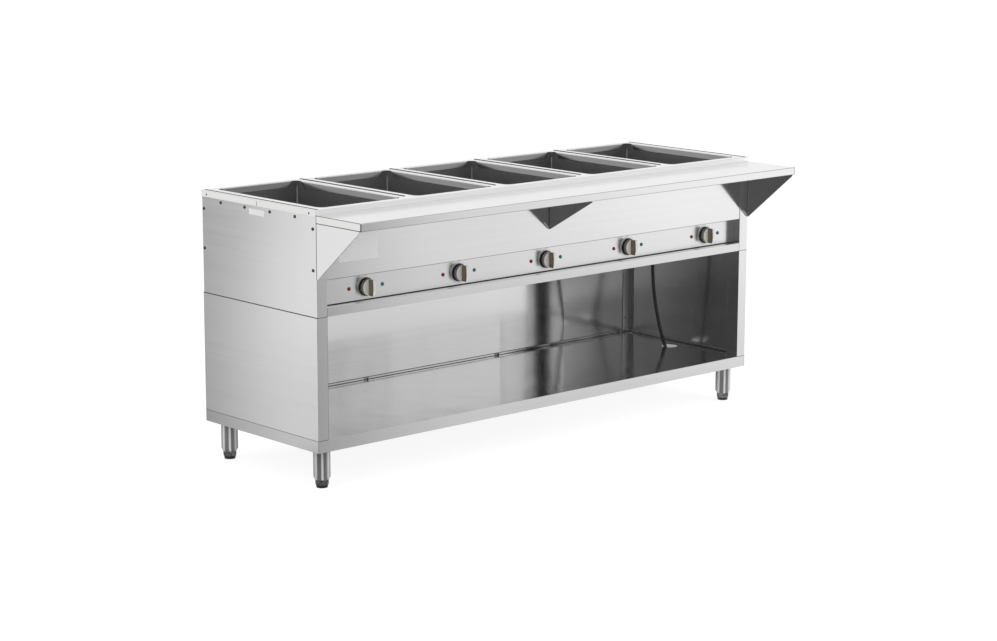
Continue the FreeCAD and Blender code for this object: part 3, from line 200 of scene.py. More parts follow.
def bumped(tree, shader, height, depth, edge=None, swell=None):
    """Bump from a height value, over edges rounded by a radius and over a sheet's swell in metres."""
    bump = add_node(tree, "ShaderNodeBump")
    bump.inputs["Distance"].default_value = depth
    tree.links.new(height, bump.inputs["Height"])
    below = bump
    if swell is not None:
        below = add_node(tree, "ShaderNodeBump")
        below.inputs["Distance"].default_value = 1.0
        tree.links.new(swell, below.inputs["Height"])
        tree.links.new(below.outputs["Normal"], bump.inputs["Normal"])
    if edge:
        bevel = add_node(tree, "ShaderNodeBevel", samples=4)
        bevel.inputs["Radius"].default_value = edge
        tree.links.new(bevel.outputs["Normal"], below.inputs["Normal"])
    tree.links.new(bump.outputs["Normal"], shader.inputs["Normal"])


# ---------------------------------------------------------------- materials
STEEL_TONE = (0.76, 0.76, 0.76)
# Grain directions lie a little off the axes, so that they cross the normal of every flat face.
GRAIN_X = Vector((1, 0.07, 0.11)).normalized()
GRAIN_Y = Vector((0.07, 1, 0.11)).normalized()
GRAIN_Z = Vector((0.07, 0.11, 1)).normalized()
# Cells for each metre: across the grain and along it, or along X, Y and Z.
SCRATCHES = (600, 4)
STREAKS = (70, 0.6)
WAVE_CELLS = (6.5, 6.5, 0.5)

# Folds of the deck and of the shelf: where the sheet ends below, the skirts' reach along Y and their
# tone, painted dark on the deck as painted shade, and the Y before which the fold at the front is
# painted pale as painted light (the shelf has none).
DECK_FOLDS = dict(front=-165 * MM, back=370 * MM, sheet_foot=829.5 * MM, painted_skirt_tone=0.26, drop=-177 * MM)
SHELF_FOLDS = dict(front=-383 * MM, back=-370 * MM, sheet_foot=815.5 * MM, painted_skirt_tone=0.74, drop=-1.0)
# Painted light: the pale tones of the deck's front fold and of the sheets' two ends.
FOLD_PAINTED_LIGHT_TONE = (0.97, 0.97, 0.97)
END_PAINTED_LIGHT_TONE = (0.97, 0.97, 0.96)
UNDERSHELF_LIP = 914.2 * MM
UNDERSHELF_TOP = 153.2 * MM

# The painted reflection round a tube, in upright dark and bright streaks: the place from its left edge to
# its right one, and the brightness.
TUBE_PAINTED_REFLECTION = (
    (0.00, 0.20), (0.08, 0.50), (0.20, 1.00), (0.28, 0.22), (0.48, 0.22), (0.53, 1.00),
    (0.60, 1.00), (0.65, 0.24), (0.78, 0.24), (0.90, 1.00), (1.00, 0.30),
)
TUBE_SIDEWAYS = Vector((0.741, -0.671, 0))

DIAL_FACE = -166 * MM
DIAL_SKIRT_RADIUS = 24.7 * MM
MOULDING_BLACK = (0.012, 0.012, 0.012)
FOOT_SOLE = 9.5 * MM


def brushed_steel(name, grain, tone=STEEL_TONE, roughness=0.2, depth=0.004 * MM, swell=None):
    """Stainless sheet brushed along one axis: fine scratches, long faint streaks and soft clouds."""
    material, tree, shader = new_material(name, tone, roughness, metallic=1.0)
    shader.inputs["Anisotropic"].default_value = 0.6
    across = [round(1.0 - part, 1) for part in grain]
    fine = [SCRATCHES[0] * share + SCRATCHES[1] * (1 - share) for share in across]
    coarse = [STREAKS[0] * share + STREAKS[1] * (1 - share) for share in across]
    scratches = stretched_noise(tree, fine, detail=3.0)
    streaks = stretched_noise(tree, coarse)
    clouds = stretched_noise(tree, (2.5, 2.5, 2.5))

    darker = [0.955 * part for part in tone]
    mixed = math_node(tree, "MULTIPLY", math_node(tree, "ADD", scratches, streaks), 0.5)
    colour = mix_colours(tree, spread(tree, mixed, 0, 1), darker, tone)
    tree.links.new(colour, shader.inputs["Base Color"])
    cloudy = spread(tree, clouds, roughness - 0.012, roughness + 0.012)
    rough = math_node(tree, "ADD", cloudy, spread(tree, mixed, -0.015, 0.015))
    tree.links.new(rough, shader.inputs["Roughness"])

    surface = add_node(tree, "ShaderNodeNewGeometry")
    tangent = add_node(tree, "ShaderNodeVectorMath", operation="CROSS_PRODUCT")
    tangent.inputs[1].default_value = grain
    tree.links.new(surface.outputs["Normal"], tangent.inputs[0])
    tree.links.new(tangent.outputs["Vector"], shader.inputs["Tangent"])
    waves = swell(tree) if swell else None
    bumped(tree, shader, scratches, depth, 1.2 * MM, waves)
    return material


def plain(name, colour, roughness, metallic=0.0, grain_scale=400, depth=0.05 * MM):
    """Moulded plastic, rubber or turned metal with a fine grain and a slight change of tone."""
    material, tree, shader = new_material(name, colour, roughness, metallic)
    grain = stretched_noise(tree, (grain_scale,) * 3, detail=3.0)
    clouds = stretched_noise(tree, (14, 14, 14))
    lighter = [min(1.0, part * 1.15 + 0.004) for part in colour]
    mottled = mix_colours(tree, spread(tree, clouds, 0, 1), colour, lighter)
    tree.links.new(mottled, shader.inputs["Base Color"])
    rough = spread(tree, clouds, roughness - 0.05, roughness + 0.05)
    tree.links.new(rough, shader.inputs["Roughness"])
    bumped(tree, shader, grain, depth, 0.4 * MM)
    return material


def sheet_waves(tree, height):
    """The waves of a thin sheet, long from top to bottom, in metres."""
    return math_node(tree, "MULTIPLY", stretched_noise(tree, WAVE_CELLS, detail=1.0), height)


def floor_waves(tree):
    """The waves of the undershelf."""
    return sheet_waves(tree, 1.5 * MM)


def wall_waves(tree):
    """The waves of the cabinet's back wall, which leans a little over a wide bulge towards its right."""
    (x,) = object_axes(tree, "X")
    lean = ramp(tree, x, (0.300, 0.600), (0.0, 9.0 * MM))
    bulge = smooth_range(tree, x, (0.500, 0.700), (0.0, 1.7 * MM))
    return math_node(tree, "ADD", sheet_waves(tree, 0.8 * MM), math_node(tree, "ADD", lean, bulge))


def deck_steel(name, side, front, back, sheet_foot, painted_skirt_tone, drop):
    """Brushed sheet with skirts in their own tone (painted shade on the deck), and a front fold and two ends
    painted pale and matt (painted light).
    """
    material = brushed_steel(name, GRAIN_X, roughness=0.14)
    tree = material.node_tree
    shader = tree.nodes["Principled BSDF"]
    x, y, z = object_axes(tree, "XYZ")
    apart = math_node(tree, "ABSOLUTE", x)
    below = math_node(tree, "LESS_THAN", z, sheet_foot)
    between_ends = math_node(tree, "LESS_THAN", apart, side - 10 * MM)
    skirts = math_node(tree, "MULTIPLY", between_ends, within(tree, y, front, back))
    # Painted shade: the skirts' own tone, dark on the deck.
    tone_where(tree, shader, math_node(tree, "MULTIPLY", below, skirts), (painted_skirt_tone,) * 3)
    fold = math_node(tree, "MULTIPLY", below, math_node(tree, "LESS_THAN", y, drop))
    # Painted light: the front fold pale and matt.
    tone_where(tree, shader, fold, FOLD_PAINTED_LIGHT_TONE)
    roughness_where(tree, shader, fold, 0.35)
    ends = math_node(tree, "MULTIPLY", below, math_node(tree, "GREATER_THAN", apart, side - 0.7 * MM))
    # Painted light: the two ends pale and matt.
    tone_where(tree, shader, ends, END_PAINTED_LIGHT_TONE)
    roughness_where(tree, shader, ends, 0.5)
    return material


def undershelf_steel(name):
    """Brushed floor sheet, painted a little darker on its top face and on its two side lips: painted shade.
    """
    material = brushed_steel(name, GRAIN_X, roughness=0.12, swell=floor_waves)
    tree = material.node_tree
    x, z = object_axes(tree, "XZ")
    lateral = math_node(tree, "GREATER_THAN", math_node(tree, "ABSOLUTE", x), UNDERSHELF_LIP)
    upper = math_node(tree, "GREATER_THAN", z, UNDERSHELF_TOP)
    shaded_parts = math_node(tree, "MAXIMUM", lateral, upper)
    # Painted shade: a darker tone on the side lips and on the top face.
    tone_where(tree, tree.nodes["Principled BSDF"], shaded_parts, (0.65, 0.65, 0.65))
    return material


def angle_steel(name):
    """Brushed angles in a pale tone as painted light, with their flanges on the side walls painted dark as
    painted shade.
    """
    material = brushed_steel(name, GRAIN_Z, tone=(0.9, 0.9, 0.9), roughness=0.35)
    tree = material.node_tree
    surface = add_node(tree, "ShaderNodeNewGeometry")
    sideways = math_node(tree, "ABSOLUTE", dot_product(tree, surface.outputs["Normal"], (1, 0, 0)))
    flange = math_node(tree, "GREATER_THAN", sideways, 0.5)
    # Painted shade: flanges that face sideways are dark.
    tone_where(tree, tree.nodes["Principled BSDF"], flange, (0.2, 0.2, 0.2))
    return material


def tube_metal(name):
    """Polished tube with upright dark and bright streaks painted by which way its surface turns, a painted
    reflection, over a fine uneven grain.
    """
    material, tree, shader = new_material(name, (0.7, 0.7, 0.7), 0.15, metallic=0.3)
    surface = add_node(tree, "ShaderNodeNewGeometry")
    # Painted reflection: the streaks follow the surface normal against a fixed sideways direction.
    turned = dot_product(tree, surface.outputs["Normal"], TUBE_SIDEWAYS)
    streaks = add_node(tree, "ShaderNodeValToRGB")
    stops = streaks.color_ramp.elements
    for index, (spot, level) in enumerate(TUBE_PAINTED_REFLECTION):
        stop = stops[index] if index < 2 else stops.new(spot)
        stop.position = spot
        stop.color = (level, level, level, 1)
    tree.links.new(ramp(tree, turned, (-1.0, 1.0), (0.0, 1.0)), streaks.inputs["Fac"])
    narrow = stretched_noise(tree, (160, 160, 2.0), detail=1.0)
    uneven = mix_colours(tree, spread(tree, narrow, 0, 1), (0.85, 0.85, 0.85), (1, 1, 1))
    faded = add_node(tree, "ShaderNodeMix", data_type="RGBA", blend_type="MULTIPLY")
    faded.inputs["Factor"].default_value = 1.0
    tree.links.new(streaks.outputs["Color"], faded.inputs["A"])
    tree.links.new(uneven, faded.inputs["B"])
    tree.links.new(faded.outputs["Result"], shader.inputs["Base Color"])
    bumped(tree, shader, narrow, 0.05 * MM)
    return material


def dial_material(name, axis):
    """Inside the skirt's radius, metal painted pale on faces to the front (painted light) and darker on the
    grip's and body's sides (painted shade); black moulding outside it.
    """
    material, tree, shader = new_material(name, (0.72, 0.68, 0.62), 0.2)
    x, y, z = object_axes(tree, "XYZ")
    across = math_node(tree, "SUBTRACT", x, axis.x)
    upward = math_node(tree, "SUBTRACT", z, axis.z)
    squares = [math_node(tree, "MULTIPLY", part, part) for part in (across, upward)]
    radius = math_node(tree, "SQRT", math_node(tree, "ADD", *squares))
    inside = math_node(tree, "SUBTRACT", 1.0, math_node(tree, "GREATER_THAN", radius, DIAL_SKIRT_RADIUS))
    surface = add_node(tree, "ShaderNodeNewGeometry")
    # Painted light and shade by which way a face turns: pale to the front, dark brown on the grip's sides
    # and grey on the body's sides.
    facing = dot_product(tree, surface.outputs["Normal"], (0, -1, 0))
    forward = smooth_range(tree, facing, (0.5, 0.9), (0.0, 1.0))
    brushing = stretched_noise(tree, (1500, 30, 30), detail=3.0)
    pale = mix_colours(tree, spread(tree, brushing, 0, 1), (0.93, 0.90, 0.83), (1.0, 0.98, 0.92))
    before = math_node(tree, "LESS_THAN", y, DIAL_FACE)
    shaded_flank = mix_colours(tree, before, (0.30, 0.29, 0.28), (0.22, 0.18, 0.125))
    metal = mix_colours(tree, forward, shaded_flank, pale)
    tree.links.new(mix_colours(tree, inside, MOULDING_BLACK, metal), shader.inputs["Base Color"])
    tree.links.new(math_node(tree, "MULTIPLY", inside, 0.15), shader.inputs["Metallic"])
    tree.links.new(ramp(tree, forward, (0.0, 1.0), (0.2, 0.45)), shader.inputs["Roughness"])
    bumped(tree, shader, brushing, 0.01 * MM, 1.2 * MM)
    return material


def foot_material(name):
    """Turned metal on a black sole."""
    material, tree, shader = new_material(name, (0.5, 0.5, 0.5), 0.3)
    (z,) = object_axes(tree, "Z")
    above = math_node(tree, "GREATER_THAN", z, FOOT_SOLE)
    turning = stretched_noise(tree, (160, 160, 300), detail=3.0)
    metal = mix_colours(tree, spread(tree, turning, 0, 1), (0.02, 0.02, 0.02), (0.32, 0.32, 0.32))
    tree.links.new(mix_colours(tree, above, (0.015, 0.015, 0.015), metal), shader.inputs["Base Color"])
    tree.links.new(above, shader.inputs["Metallic"])
    bumped(tree, shader, turning, 0.15 * MM, 0.8 * MM)
    return material


def lens_material(name, colour):
    """Clear tinted plastic."""
    material, tree, shader = new_material(name, colour, 0.12)
    shader.inputs["Transmission Weight"].default_value = 0.25
    shader.inputs["IOR"].default_value = 1.49
    rings = stretched_noise(tree, (300, 300, 300))
    deeper = [0.7 * part for part in colour]
    tinted = mix_colours(tree, spread(tree, rings, 0, 1), deeper, colour)
    tree.links.new(tinted, shader.inputs["Base Color"])
    bumped(tree, shader, rings, 0.05 * MM)
    return material


def paint(material, *nodes):
    """Puts a material on every slot of some CAD nodes."""
    for node in nodes:
        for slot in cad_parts[node].material_slots:
            slot.link = "OBJECT"
            slot.material = material


# ---------------------------------------------------------------- mesh helpers
def new_piece(name, mesh, material, body=BODY, smooth=True):
    """An object from a bmesh, with its material, riding on a body."""
    data = bpy.data.meshes.new(name)
    bmesh.ops.recalc_face_normals(mesh, faces=mesh.faces)
    mesh.to_mesh(data)
    mesh.free()
    if smooth:
        data.shade_smooth()
        data.set_sharp_from_angle(angle=math.radians(35))
    data.materials.append(material)
    thing = bpy.data.objects.new(name, data)
    bpy.context.scene.collection.objects.link(thing)
    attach(thing, body)
    return thing


def placed(origin, normal):
    """The transform that carries +Z to normal at origin."""
    return Matrix.Translation(origin) @ Vector(normal).to_track_quat("Z", "Y").to_matrix().to_4x4()


def add_rings(mesh, profile, place, sides):
    """Rings of vertices round +Z, one for each (radius, height) pair."""
    rings = []
    for radius, height in profile:
        ring = []
        for step in range(sides):
            turn = 2 * math.pi * step / sides
            spot = Vector((radius * math.cos(turn), radius * math.sin(turn), height))
            ring.append(mesh.verts.new(place @ spot))
        rings.append(ring)
    return rings


def join_rings(mesh, low, high):
    """A band of faces from one ring to the next."""
    for step in range(len(low)):
        after = (step + 1) % len(low)
        mesh.faces.new((low[step], low[after], high[after], high[step]))


def add_turned(mesh, profile, place, sides=20):
    """A turned shape from (radius, height) pairs, closed by discs at both ends."""
    rings = add_rings(mesh, profile, place, sides)
    for low, high in zip(rings, rings[1:]):
        join_rings(mesh, low, high)
    mesh.faces.new(list(reversed(rings[0])))
    mesh.faces.new(rings[-1])


def add_ring(mesh, section, place, sides):
    """A closed ring from a section of (radius, height) pairs in millimetres."""
    rings = add_rings(mesh, [(radius * MM, height * MM) for radius, height in section], place, sides)
    for low, high in zip(rings, rings[1:] + rings[:1]):
        join_rings(mesh, low, high)


def add_block(mesh, low, high, place=Matrix.Identity(4)):
    """A box between two corners."""
    corners = []
    for z in (low[2], high[2]):
        for x, y in ((low[0], low[1]), (high[0], low[1]), (high[0], high[1]), (low[0], high[1])):
            corners.append(mesh.verts.new(place @ Vector((x, y, z))))
    for face in ((3, 2, 1, 0), (4, 5, 6, 7), (0, 1, 5, 4), (1, 2, 6, 5), (2, 3, 7, 6), (3, 0, 4, 7)):
        mesh.faces.new([corners[index] for index in face])


# ---------------------------------------------------------------- cord
CORD_DIAMETER = 12 * MM
# The route of the free stretch and of the tail: the same points as the construction's.
CORD_ROUTE = [
    (0.7710, 0.1222, 0.4675),
    (0.7710, 0.1222, 0.4175),
    (0.7800, 0.1212, 0.3350),
    (0.7950, 0.1168, 0.2520),
    (0.8120, 0.1106, 0.1860),
    (0.8285, 0.1035, 0.1370),
    (0.8360, 0.1100, 0.0900),
    (0.8340, 0.1340, 0.0500),
    (0.8160, 0.1680, 0.0220),
    (0.7820, 0.1940, 0.0090),
    (0.7380, 0.2070, 0.0062),
    (0.6870, 0.2110, 0.0062),
    (0.6400, 0.2110, 0.0062),
]
TAIL_ROUTE = [
    (0.6400, 0.3570, 0.0175),
    (0.6640, 0.3570, 0.0175),
    (0.7080, 0.3535, 0.0175),
    (0.7350, 0.3535, 0.0175),
]
COIL_CENTRE = Vector((0.640, 0.287, 0))
COIL_RADIUS = 70 * MM
COIL_POINTS = 40
COIL_FLOOR = CORD_DIAMETER / 2 + 0.2 * MM
COIL_UPPER = 17.5 * MM
# In degrees round the coil: its whole turn, and where it moves inwards and where it climbs.
COIL_TURN = 900
COIL_INWARD = (300, 360)
COIL_UPWARD = (620, 680)


def eased(value, start, end):
    """0 before start, 1 after end and smooth between them."""
    share = min(1.0, max(0.0, (value - start) / (end - start)))
    return share * share * (3 - 2 * share)


def coil_points():
    """Two turns side by side on the floor, and half a turn on top of them."""
    points = []
    for step in range(1, COIL_POINTS):
        turned = COIL_TURN * step / COIL_POINTS
        inward = eased(turned, *COIL_INWARD)
        upward = eased(turned, *COIL_UPWARD)
        radius = COIL_RADIUS + CORD_DIAMETER * (0.5 - inward + 0.5 * upward)
        height = COIL_FLOOR + (COIL_UPPER - COIL_FLOOR) * upward
        angle = math.radians(270 - turned)
        points.append(COIL_CENTRE + Vector((radius * math.cos(angle), radius * math.sin(angle), height)))
    return points


def make_cord(material):
    """The supply cord in one piece: free stretch, coil and tail."""
    points = [*CORD_ROUTE, *coil_points(), *TAIL_ROUTE]
    data = bpy.data.curves.new("supply_cord", "CURVE")
    data.dimensions = "3D"
    data.bevel_depth = CORD_DIAMETER / 2
    data.bevel_resolution = 4
    data.use_fill_caps = True
    spline = data.splines.new("NURBS")
    spline.points.add(len(points) - 1)
    for point, spot in zip(spline.points, points):
        point.co = (*spot, 1)
    spline.order_u = 3
    spline.use_endpoint_u = True
    spline.resolution_u = 8
    data.materials.append(material)
    cord = bpy.data.objects.new("supply_cord", data)
    bpy.context.scene.collection.objects.link(cord)
    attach(cord, BODY)
    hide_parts("power_cord", "cord_coil")


# ---------------------------------------------------------------- screws, nuts and clips
# Places that the photograph shows, in the model's frame.
SIDE_SCREW_COLUMNS = (-161.3 * MM, 372.2 * MM)
SIDE_SCREW_HEIGHTS = (655 * MM, 775.5 * MM)
SIDE_SCREW_ROW = (-77.8 * MM, 42.2 * MM, 165.2 * MM, 285.2 * MM)
SIDE_SCREW_TOP = 802.1 * MM
CORNER_SCREW_HEIGHTS = (165 * MM, 205 * MM, 440 * MM, 480 * MM)
CLIP_COLUMNS = (-861 * MM, -285 * MM, 285 * MM, 861 * MM)
SIDE_CLIP = 315 * MM
CLIP_HEIGHTS = (154.5 * MM, 160.5 * MM)

SIDE_SCREW_RADIUS = 5 * MM
BACK_SCREW_RADIUS = 4.2 * MM
CORNER_SCREW_RADIUS = 2.6 * MM
BACK_SCREW_INSET = 25 * MM
# From the lower and the upper edge of the two back panels.
UPPER_ROW_INSETS = (20 * MM, 35 * MM)
LOWER_ROW_INSETS = (40 * MM, 25 * MM)
UPPER_ROW_COUNT = 9
PAN_ROW_COUNT = 7
PAN_SCREW_INSET = 60 * MM
ANGLE_SCREW_INSET = 15 * MM
ANGLE_GAUGE = 1.5 * MM
CLIP_HALF_WIDTH = 10 * MM
CLIP_GAUGE = 1.2 * MM
CLIP_SCREW_OFFSET = 4 * MM
# From the cabinet back's outer face to the clips' wall.
BACK_FACE_INSET = 2.4 * MM
SOCKET_BOLT_OFFSET = 36 * MM
SOCKET_PLATE_GAUGE = 3 * MM

# Sections of turned pieces, as radius and height: in metres for bolts, in millimetres for rings.
BOLT_WASHER = ((8 * MM, 0), (8 * MM, 1 * MM))
BOLT_HEAD = ((5.8 * MM, 1 * MM), (5.8 * MM, 4.6 * MM), (5.0 * MM, 5.2 * MM))
RING_WASHER = ((4.4, 0), (11, 0), (11, 1.2), (4.4, 1.2))
RING_NUT = ((4.4, 1.2), (8.6, 1.2), (8.6, 6.4), (7.8, 7.2), (4.4, 7.2))
THREAD_CREST = ((7.9, 0), (8.2, 0.8), (8.2, 1.0), (7.9, 1.8))
THREAD_START = 13
THREAD_PITCH = 2
THREAD_CRESTS = 18
LEAD_SPREAD = 40 * MM
LEAD_Y = -90.4 * MM
LINER_RIM = 11 * MM
WELD_RADIUS = 1.8 * MM
WELD_FOOT = 10 * MM
# How much shorter a weld is than its liner.
WELD_CUT = 30 * MM


def add_screw(mesh, recess, origin, normal, radius):
    """A pan-head screw with a cross recess; the recess, a dark cross of painted shade, goes into a mesh of
    its own.
    """
    place = placed(origin, normal)
    rise = 0.5 * radius
    profile = [
        (radius, 0),
        (radius, 0.3 * rise),
        (0.85 * radius, 0.75 * rise),
        (0.5 * radius, rise),
        (0.1 * radius, rise),
    ]
    add_turned(mesh, profile, place)
    arm, width = 0.5 * radius, 0.11 * radius
    add_block(recess, (-arm, -width, 0.8 * rise), (arm, width, 1.02 * rise), place)
    add_block(recess, (-width, -arm, 0.8 * rise), (width, arm, 1.02 * rise), place)


def make_screws(name, places, radius, head, dark):
    """Screws at (origin, normal) pairs, and their recesses, dark crosses of painted shade, as a piece of
    their own.
    """
    mesh, recess = bmesh.new(), bmesh.new()
    for origin, normal in places:
        add_screw(mesh, recess, Vector(origin), normal, radius)
    new_piece(name, mesh, head)
    new_piece(f"{name}_recess", recess, dark)


def make_side_screws(head, dark):
    """Pan-head screws round the edges of the upper side panels."""
    places = []
    for side in (-1, 1):
        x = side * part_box("upper_side_right")[1].x
        for y in SIDE_SCREW_COLUMNS:
            for z in SIDE_SCREW_HEIGHTS:
                places.append(((x, y, z), (side, 0, 0)))
        for y in SIDE_SCREW_ROW:
            places.append(((x, y, SIDE_SCREW_TOP), (side, 0, 0)))
    make_screws("side_screws", places, SIDE_SCREW_RADIUS, head, dark)


def evenly(count, reach):
    """As many places from -reach to reach, at even steps."""
    half = (count - 1) / 2
    return [(step - half) / half * reach for step in range(count)]


def make_back_screws(head, dark):
    """Screws along the edges of the two back panels and under the belly pan."""
    places = []
    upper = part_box("upper_back")
    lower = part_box("cabinet_back")
    wall = upper[1].y
    for z in (upper[0].z + UPPER_ROW_INSETS[0], upper[1].z - UPPER_ROW_INSETS[1]):
        for x in evenly(UPPER_ROW_COUNT, upper[1].x - BACK_SCREW_INSET):
            places.append(((x, wall, z), (0, 1, 0)))
    for z in (lower[0].z + LOWER_ROW_INSETS[0], lower[1].z - LOWER_ROW_INSETS[1]):
        for x in (lower[0].x + BACK_SCREW_INSET, lower[1].x - BACK_SCREW_INSET):
            places.append(((x, lower[1].y, z), (0, 1, 0)))
    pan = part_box("belly_pan")
    for y in (pan[0].y + BACK_SCREW_INSET, pan[1].y - BACK_SCREW_INSET):
        for x in evenly(PAN_ROW_COUNT, pan[1].x - PAN_SCREW_INSET):
            places.append(((x, y, pan[0].z), (0, 0, -1)))
    make_screws("back_screws", places, BACK_SCREW_RADIUS, head, dark)


def make_corner_fittings(head, dark, clip):
    """Screws through the corner angles, and clips with screws along the undershelf's back edge."""
    places = []
    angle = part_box("corner_angles")[1]
    for side in (-1, 1):
        for z in CORNER_SCREW_HEIGHTS:
            behind = (side * (angle.x - ANGLE_SCREW_INSET), angle.y - ANGLE_GAUGE, z)
            beside = (side * (angle.x - ANGLE_GAUGE), angle.y - ANGLE_SCREW_INSET, z)
            places.append((behind, (0, -1, 0)))
            places.append((beside, (-side, 0, 0)))
    clips = bmesh.new()
    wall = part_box("cabinet_back")[1].y - BACK_FACE_INSET
    low, high = CLIP_HEIGHTS
    middle = (low + high) / 2
    for x in CLIP_COLUMNS:
        front = wall - CLIP_GAUGE
        add_block(clips, (x - CLIP_HALF_WIDTH, front, low), (x + CLIP_HALF_WIDTH, wall, high))
        places.append(((x + CLIP_SCREW_OFFSET, front, middle), (0, -1, 0)))
    for side in (-1, 1):
        x = side * (angle.x - CLIP_GAUGE)
        face = x - side * CLIP_GAUGE
        ends = sorted((x, face))
        low_corner = (ends[0], SIDE_CLIP - CLIP_HALF_WIDTH, low)
        add_block(clips, low_corner, (ends[1], SIDE_CLIP + CLIP_HALF_WIDTH, high))
        places.append(((face, SIDE_CLIP - CLIP_SCREW_OFFSET, middle), (-side, 0, 0)))
    new_piece("undershelf_clips", clips, clip, smooth=False)
    make_screws("corner_screws", places, CORNER_SCREW_RADIUS, head, dark)


def make_socket_bolts(head):
    """Four hexagon heads on each leg plate."""
    mesh = bmesh.new()
    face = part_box("leg_sockets")[1].z - SOCKET_PLATE_GAUGE
    for corner in CORNERS:
        low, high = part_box(f"leg_{corner}")
        middle = (low + high) / 2
        for x in (-SOCKET_BOLT_OFFSET, SOCKET_BOLT_OFFSET):
            for y in (-SOCKET_BOLT_OFFSET, SOCKET_BOLT_OFFSET):
                place = placed((middle.x + x, middle.y + y, face), (0, 0, -1))
                add_turned(mesh, BOLT_WASHER, place, sides=24)
                add_turned(mesh, BOLT_HEAD, place, sides=6)
    new_piece("socket_bolts", mesh, head)


def make_element_nuts(head):
    """Ring nuts and washers where each element passes through the floor of its well."""
    for well in WELLS:
        mesh = bmesh.new()
        low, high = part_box(f"well_liner_{well}")
        for spread_x in (-LEAD_SPREAD, LEAD_SPREAD):
            place = placed(((low.x + high.x) / 2 + spread_x, LEAD_Y, low.z + 1 * MM), (0, 0, 1))
            add_ring(mesh, RING_WASHER, place, sides=28)
            add_ring(mesh, RING_NUT, place, sides=6)
        new_piece(f"element_nuts_{well}", mesh, head)


def make_liner_welds(material):
    """A ground weld down each corner of the liners."""
    for well in WELLS:
        mesh = bmesh.new()
        low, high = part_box(f"well_liner_{well}")
        weld = ((WELD_RADIUS, 0), (WELD_RADIUS, high.z - low.z - WELD_CUT))
        for x in (low.x + LINER_RIM, high.x - LINER_RIM):
            for y in (low.y + LINER_RIM, high.y - LINER_RIM):
                add_turned(mesh, weld, placed((x, y, low.z + WELD_FOOT), (0, 0, 1)), sides=10)
        new_piece(f"liner_welds_{well}", mesh, material)


def make_stem_threads(material):
    """Thread crests on each foot's stem, below and inside the leg."""
    for corner in CORNERS:
        mesh = bmesh.new()
        low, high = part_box(f"foot_{corner}")
        middle = (low + high) / 2
        place = placed((middle.x, middle.y, 0), (0, 0, 1))
        for step in range(THREAD_CRESTS):
            foot = THREAD_START + THREAD_PITCH * step
            add_ring(mesh, [(radius, foot + rise) for radius, rise in THREAD_CREST], place, sides=28)
        piece = new_piece(f"stem_thread_{corner}", mesh, material, body=f"levelling_foot_{corner}")


# ---------------------------------------------------------------- plates, marks and seams
# Places that the photograph shows.
LABEL_X = (-831.5 * MM, -684.5 * MM)
LABEL_Z = (670.5 * MM, 748.5 * MM)
TAG_Y = (68.2 * MM, 143.2 * MM)
TAG_Z = (784.5 * MM, 801.5 * MM)
DECK_WELD_Y = (356.2 * MM, -145.8 * MM)
DECK_WELD_Z = 819.5 * MM
DECK_TICK_Y = (103.4 * MM, 105.0 * MM)
DECK_TICK_Z = (812.5 * MM, 827 * MM)

DECK_WELD = ((3.4 * MM, 0), (2.6 * MM, 0.2 * MM))
DECK_TICK_GAUGE = 0.1 * MM
LABEL_GAUGE = 0.15 * MM
LABEL_MARGIN = 5 * MM
INNER_LABEL_GAUGE = 0.25 * MM
TAG_GAUGE = 0.4 * MM
GUSSET_GAUGE = 2 * MM
BEND_PROUD = 0.15 * MM
BEND_TOP_INSET = 3 * MM
# From the fascia forwards: the gap's painted shade, and the bend's painted highlight before it.
GAP_SHADE_REACH = (4 * MM, 2 * MM)
BEND_HIGHLIGHT_REACH = (8 * MM, 4 * MM)
PRINT_GAUGE = 0.08 * MM
# Ticks stand every 30 degrees; reaches go from the dial's axis.
TICK_STEP = 30
TICK_COUNT = 11
TICK_HALF_WIDTH = 0.35 * MM
TICK_REACH = (29 * MM, 32 * MM)
INDEX_OFFSET = 1.6 * MM
INDEX_HALF_WIDTH = 0.5 * MM
INDEX_REACH = (34.6 * MM, 39 * MM)


def make_plates(pale, tag):
    """A blank sheet on the fascia, with a second one let into it, and a blank tag on the left side."""
    mesh = bmesh.new()
    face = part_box("fascia")[0].y
    front = face - LABEL_GAUGE
    add_block(mesh, (LABEL_X[0], front, LABEL_Z[0]), (LABEL_X[1], face, LABEL_Z[1]))
    inner = 0.52 * LABEL_X[0] + 0.48 * LABEL_X[1]
    low = (inner, face - INNER_LABEL_GAUGE, LABEL_Z[0] + LABEL_MARGIN)
    add_block(mesh, low, (LABEL_X[1] - LABEL_MARGIN, front, LABEL_Z[1] - LABEL_MARGIN))
    new_piece("fascia_label", mesh, pale, smooth=False)
    mesh = bmesh.new()
    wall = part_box("upper_side_left")[0].x
    add_block(mesh, (wall - TAG_GAUGE, TAG_Y[0], TAG_Z[0]), (wall, TAG_Y[1], TAG_Z[1]))
    new_piece("side_tag", mesh, tag, smooth=False)


def make_dial_marks(dark):
    """Ticks round each dial plate and an index above it."""
    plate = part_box("dial_plates")[0].y
    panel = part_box("control_panel")[0].y
    for well in WELLS:
        low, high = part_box(f"control_shaft_{well}")
        axis = (low + high) / 2
        mesh = bmesh.new()
        for step in range(TICK_COUNT):
            turn = Matrix.Rotation(math.radians(TICK_STEP * step), 4, "Y")
            place = Matrix.Translation((axis.x, plate, axis.z)) @ turn
            low = (-TICK_HALF_WIDTH, -PRINT_GAUGE, TICK_REACH[0])
            add_block(mesh, low, (TICK_HALF_WIDTH, 0, TICK_REACH[1]), place)
        new_piece(f"dial_ticks_{well}", mesh, dark, smooth=False)
        mesh = bmesh.new()
        for x in (-INDEX_OFFSET, INDEX_OFFSET):
            low = (axis.x + x - INDEX_HALF_WIDTH, panel - PRINT_GAUGE, axis.z + INDEX_REACH[0])
            add_block(mesh, low, (axis.x + x + INDEX_HALF_WIDTH, panel, axis.z + INDEX_REACH[1]))
        new_piece(f"dial_index_{well}", mesh, dark, smooth=False)


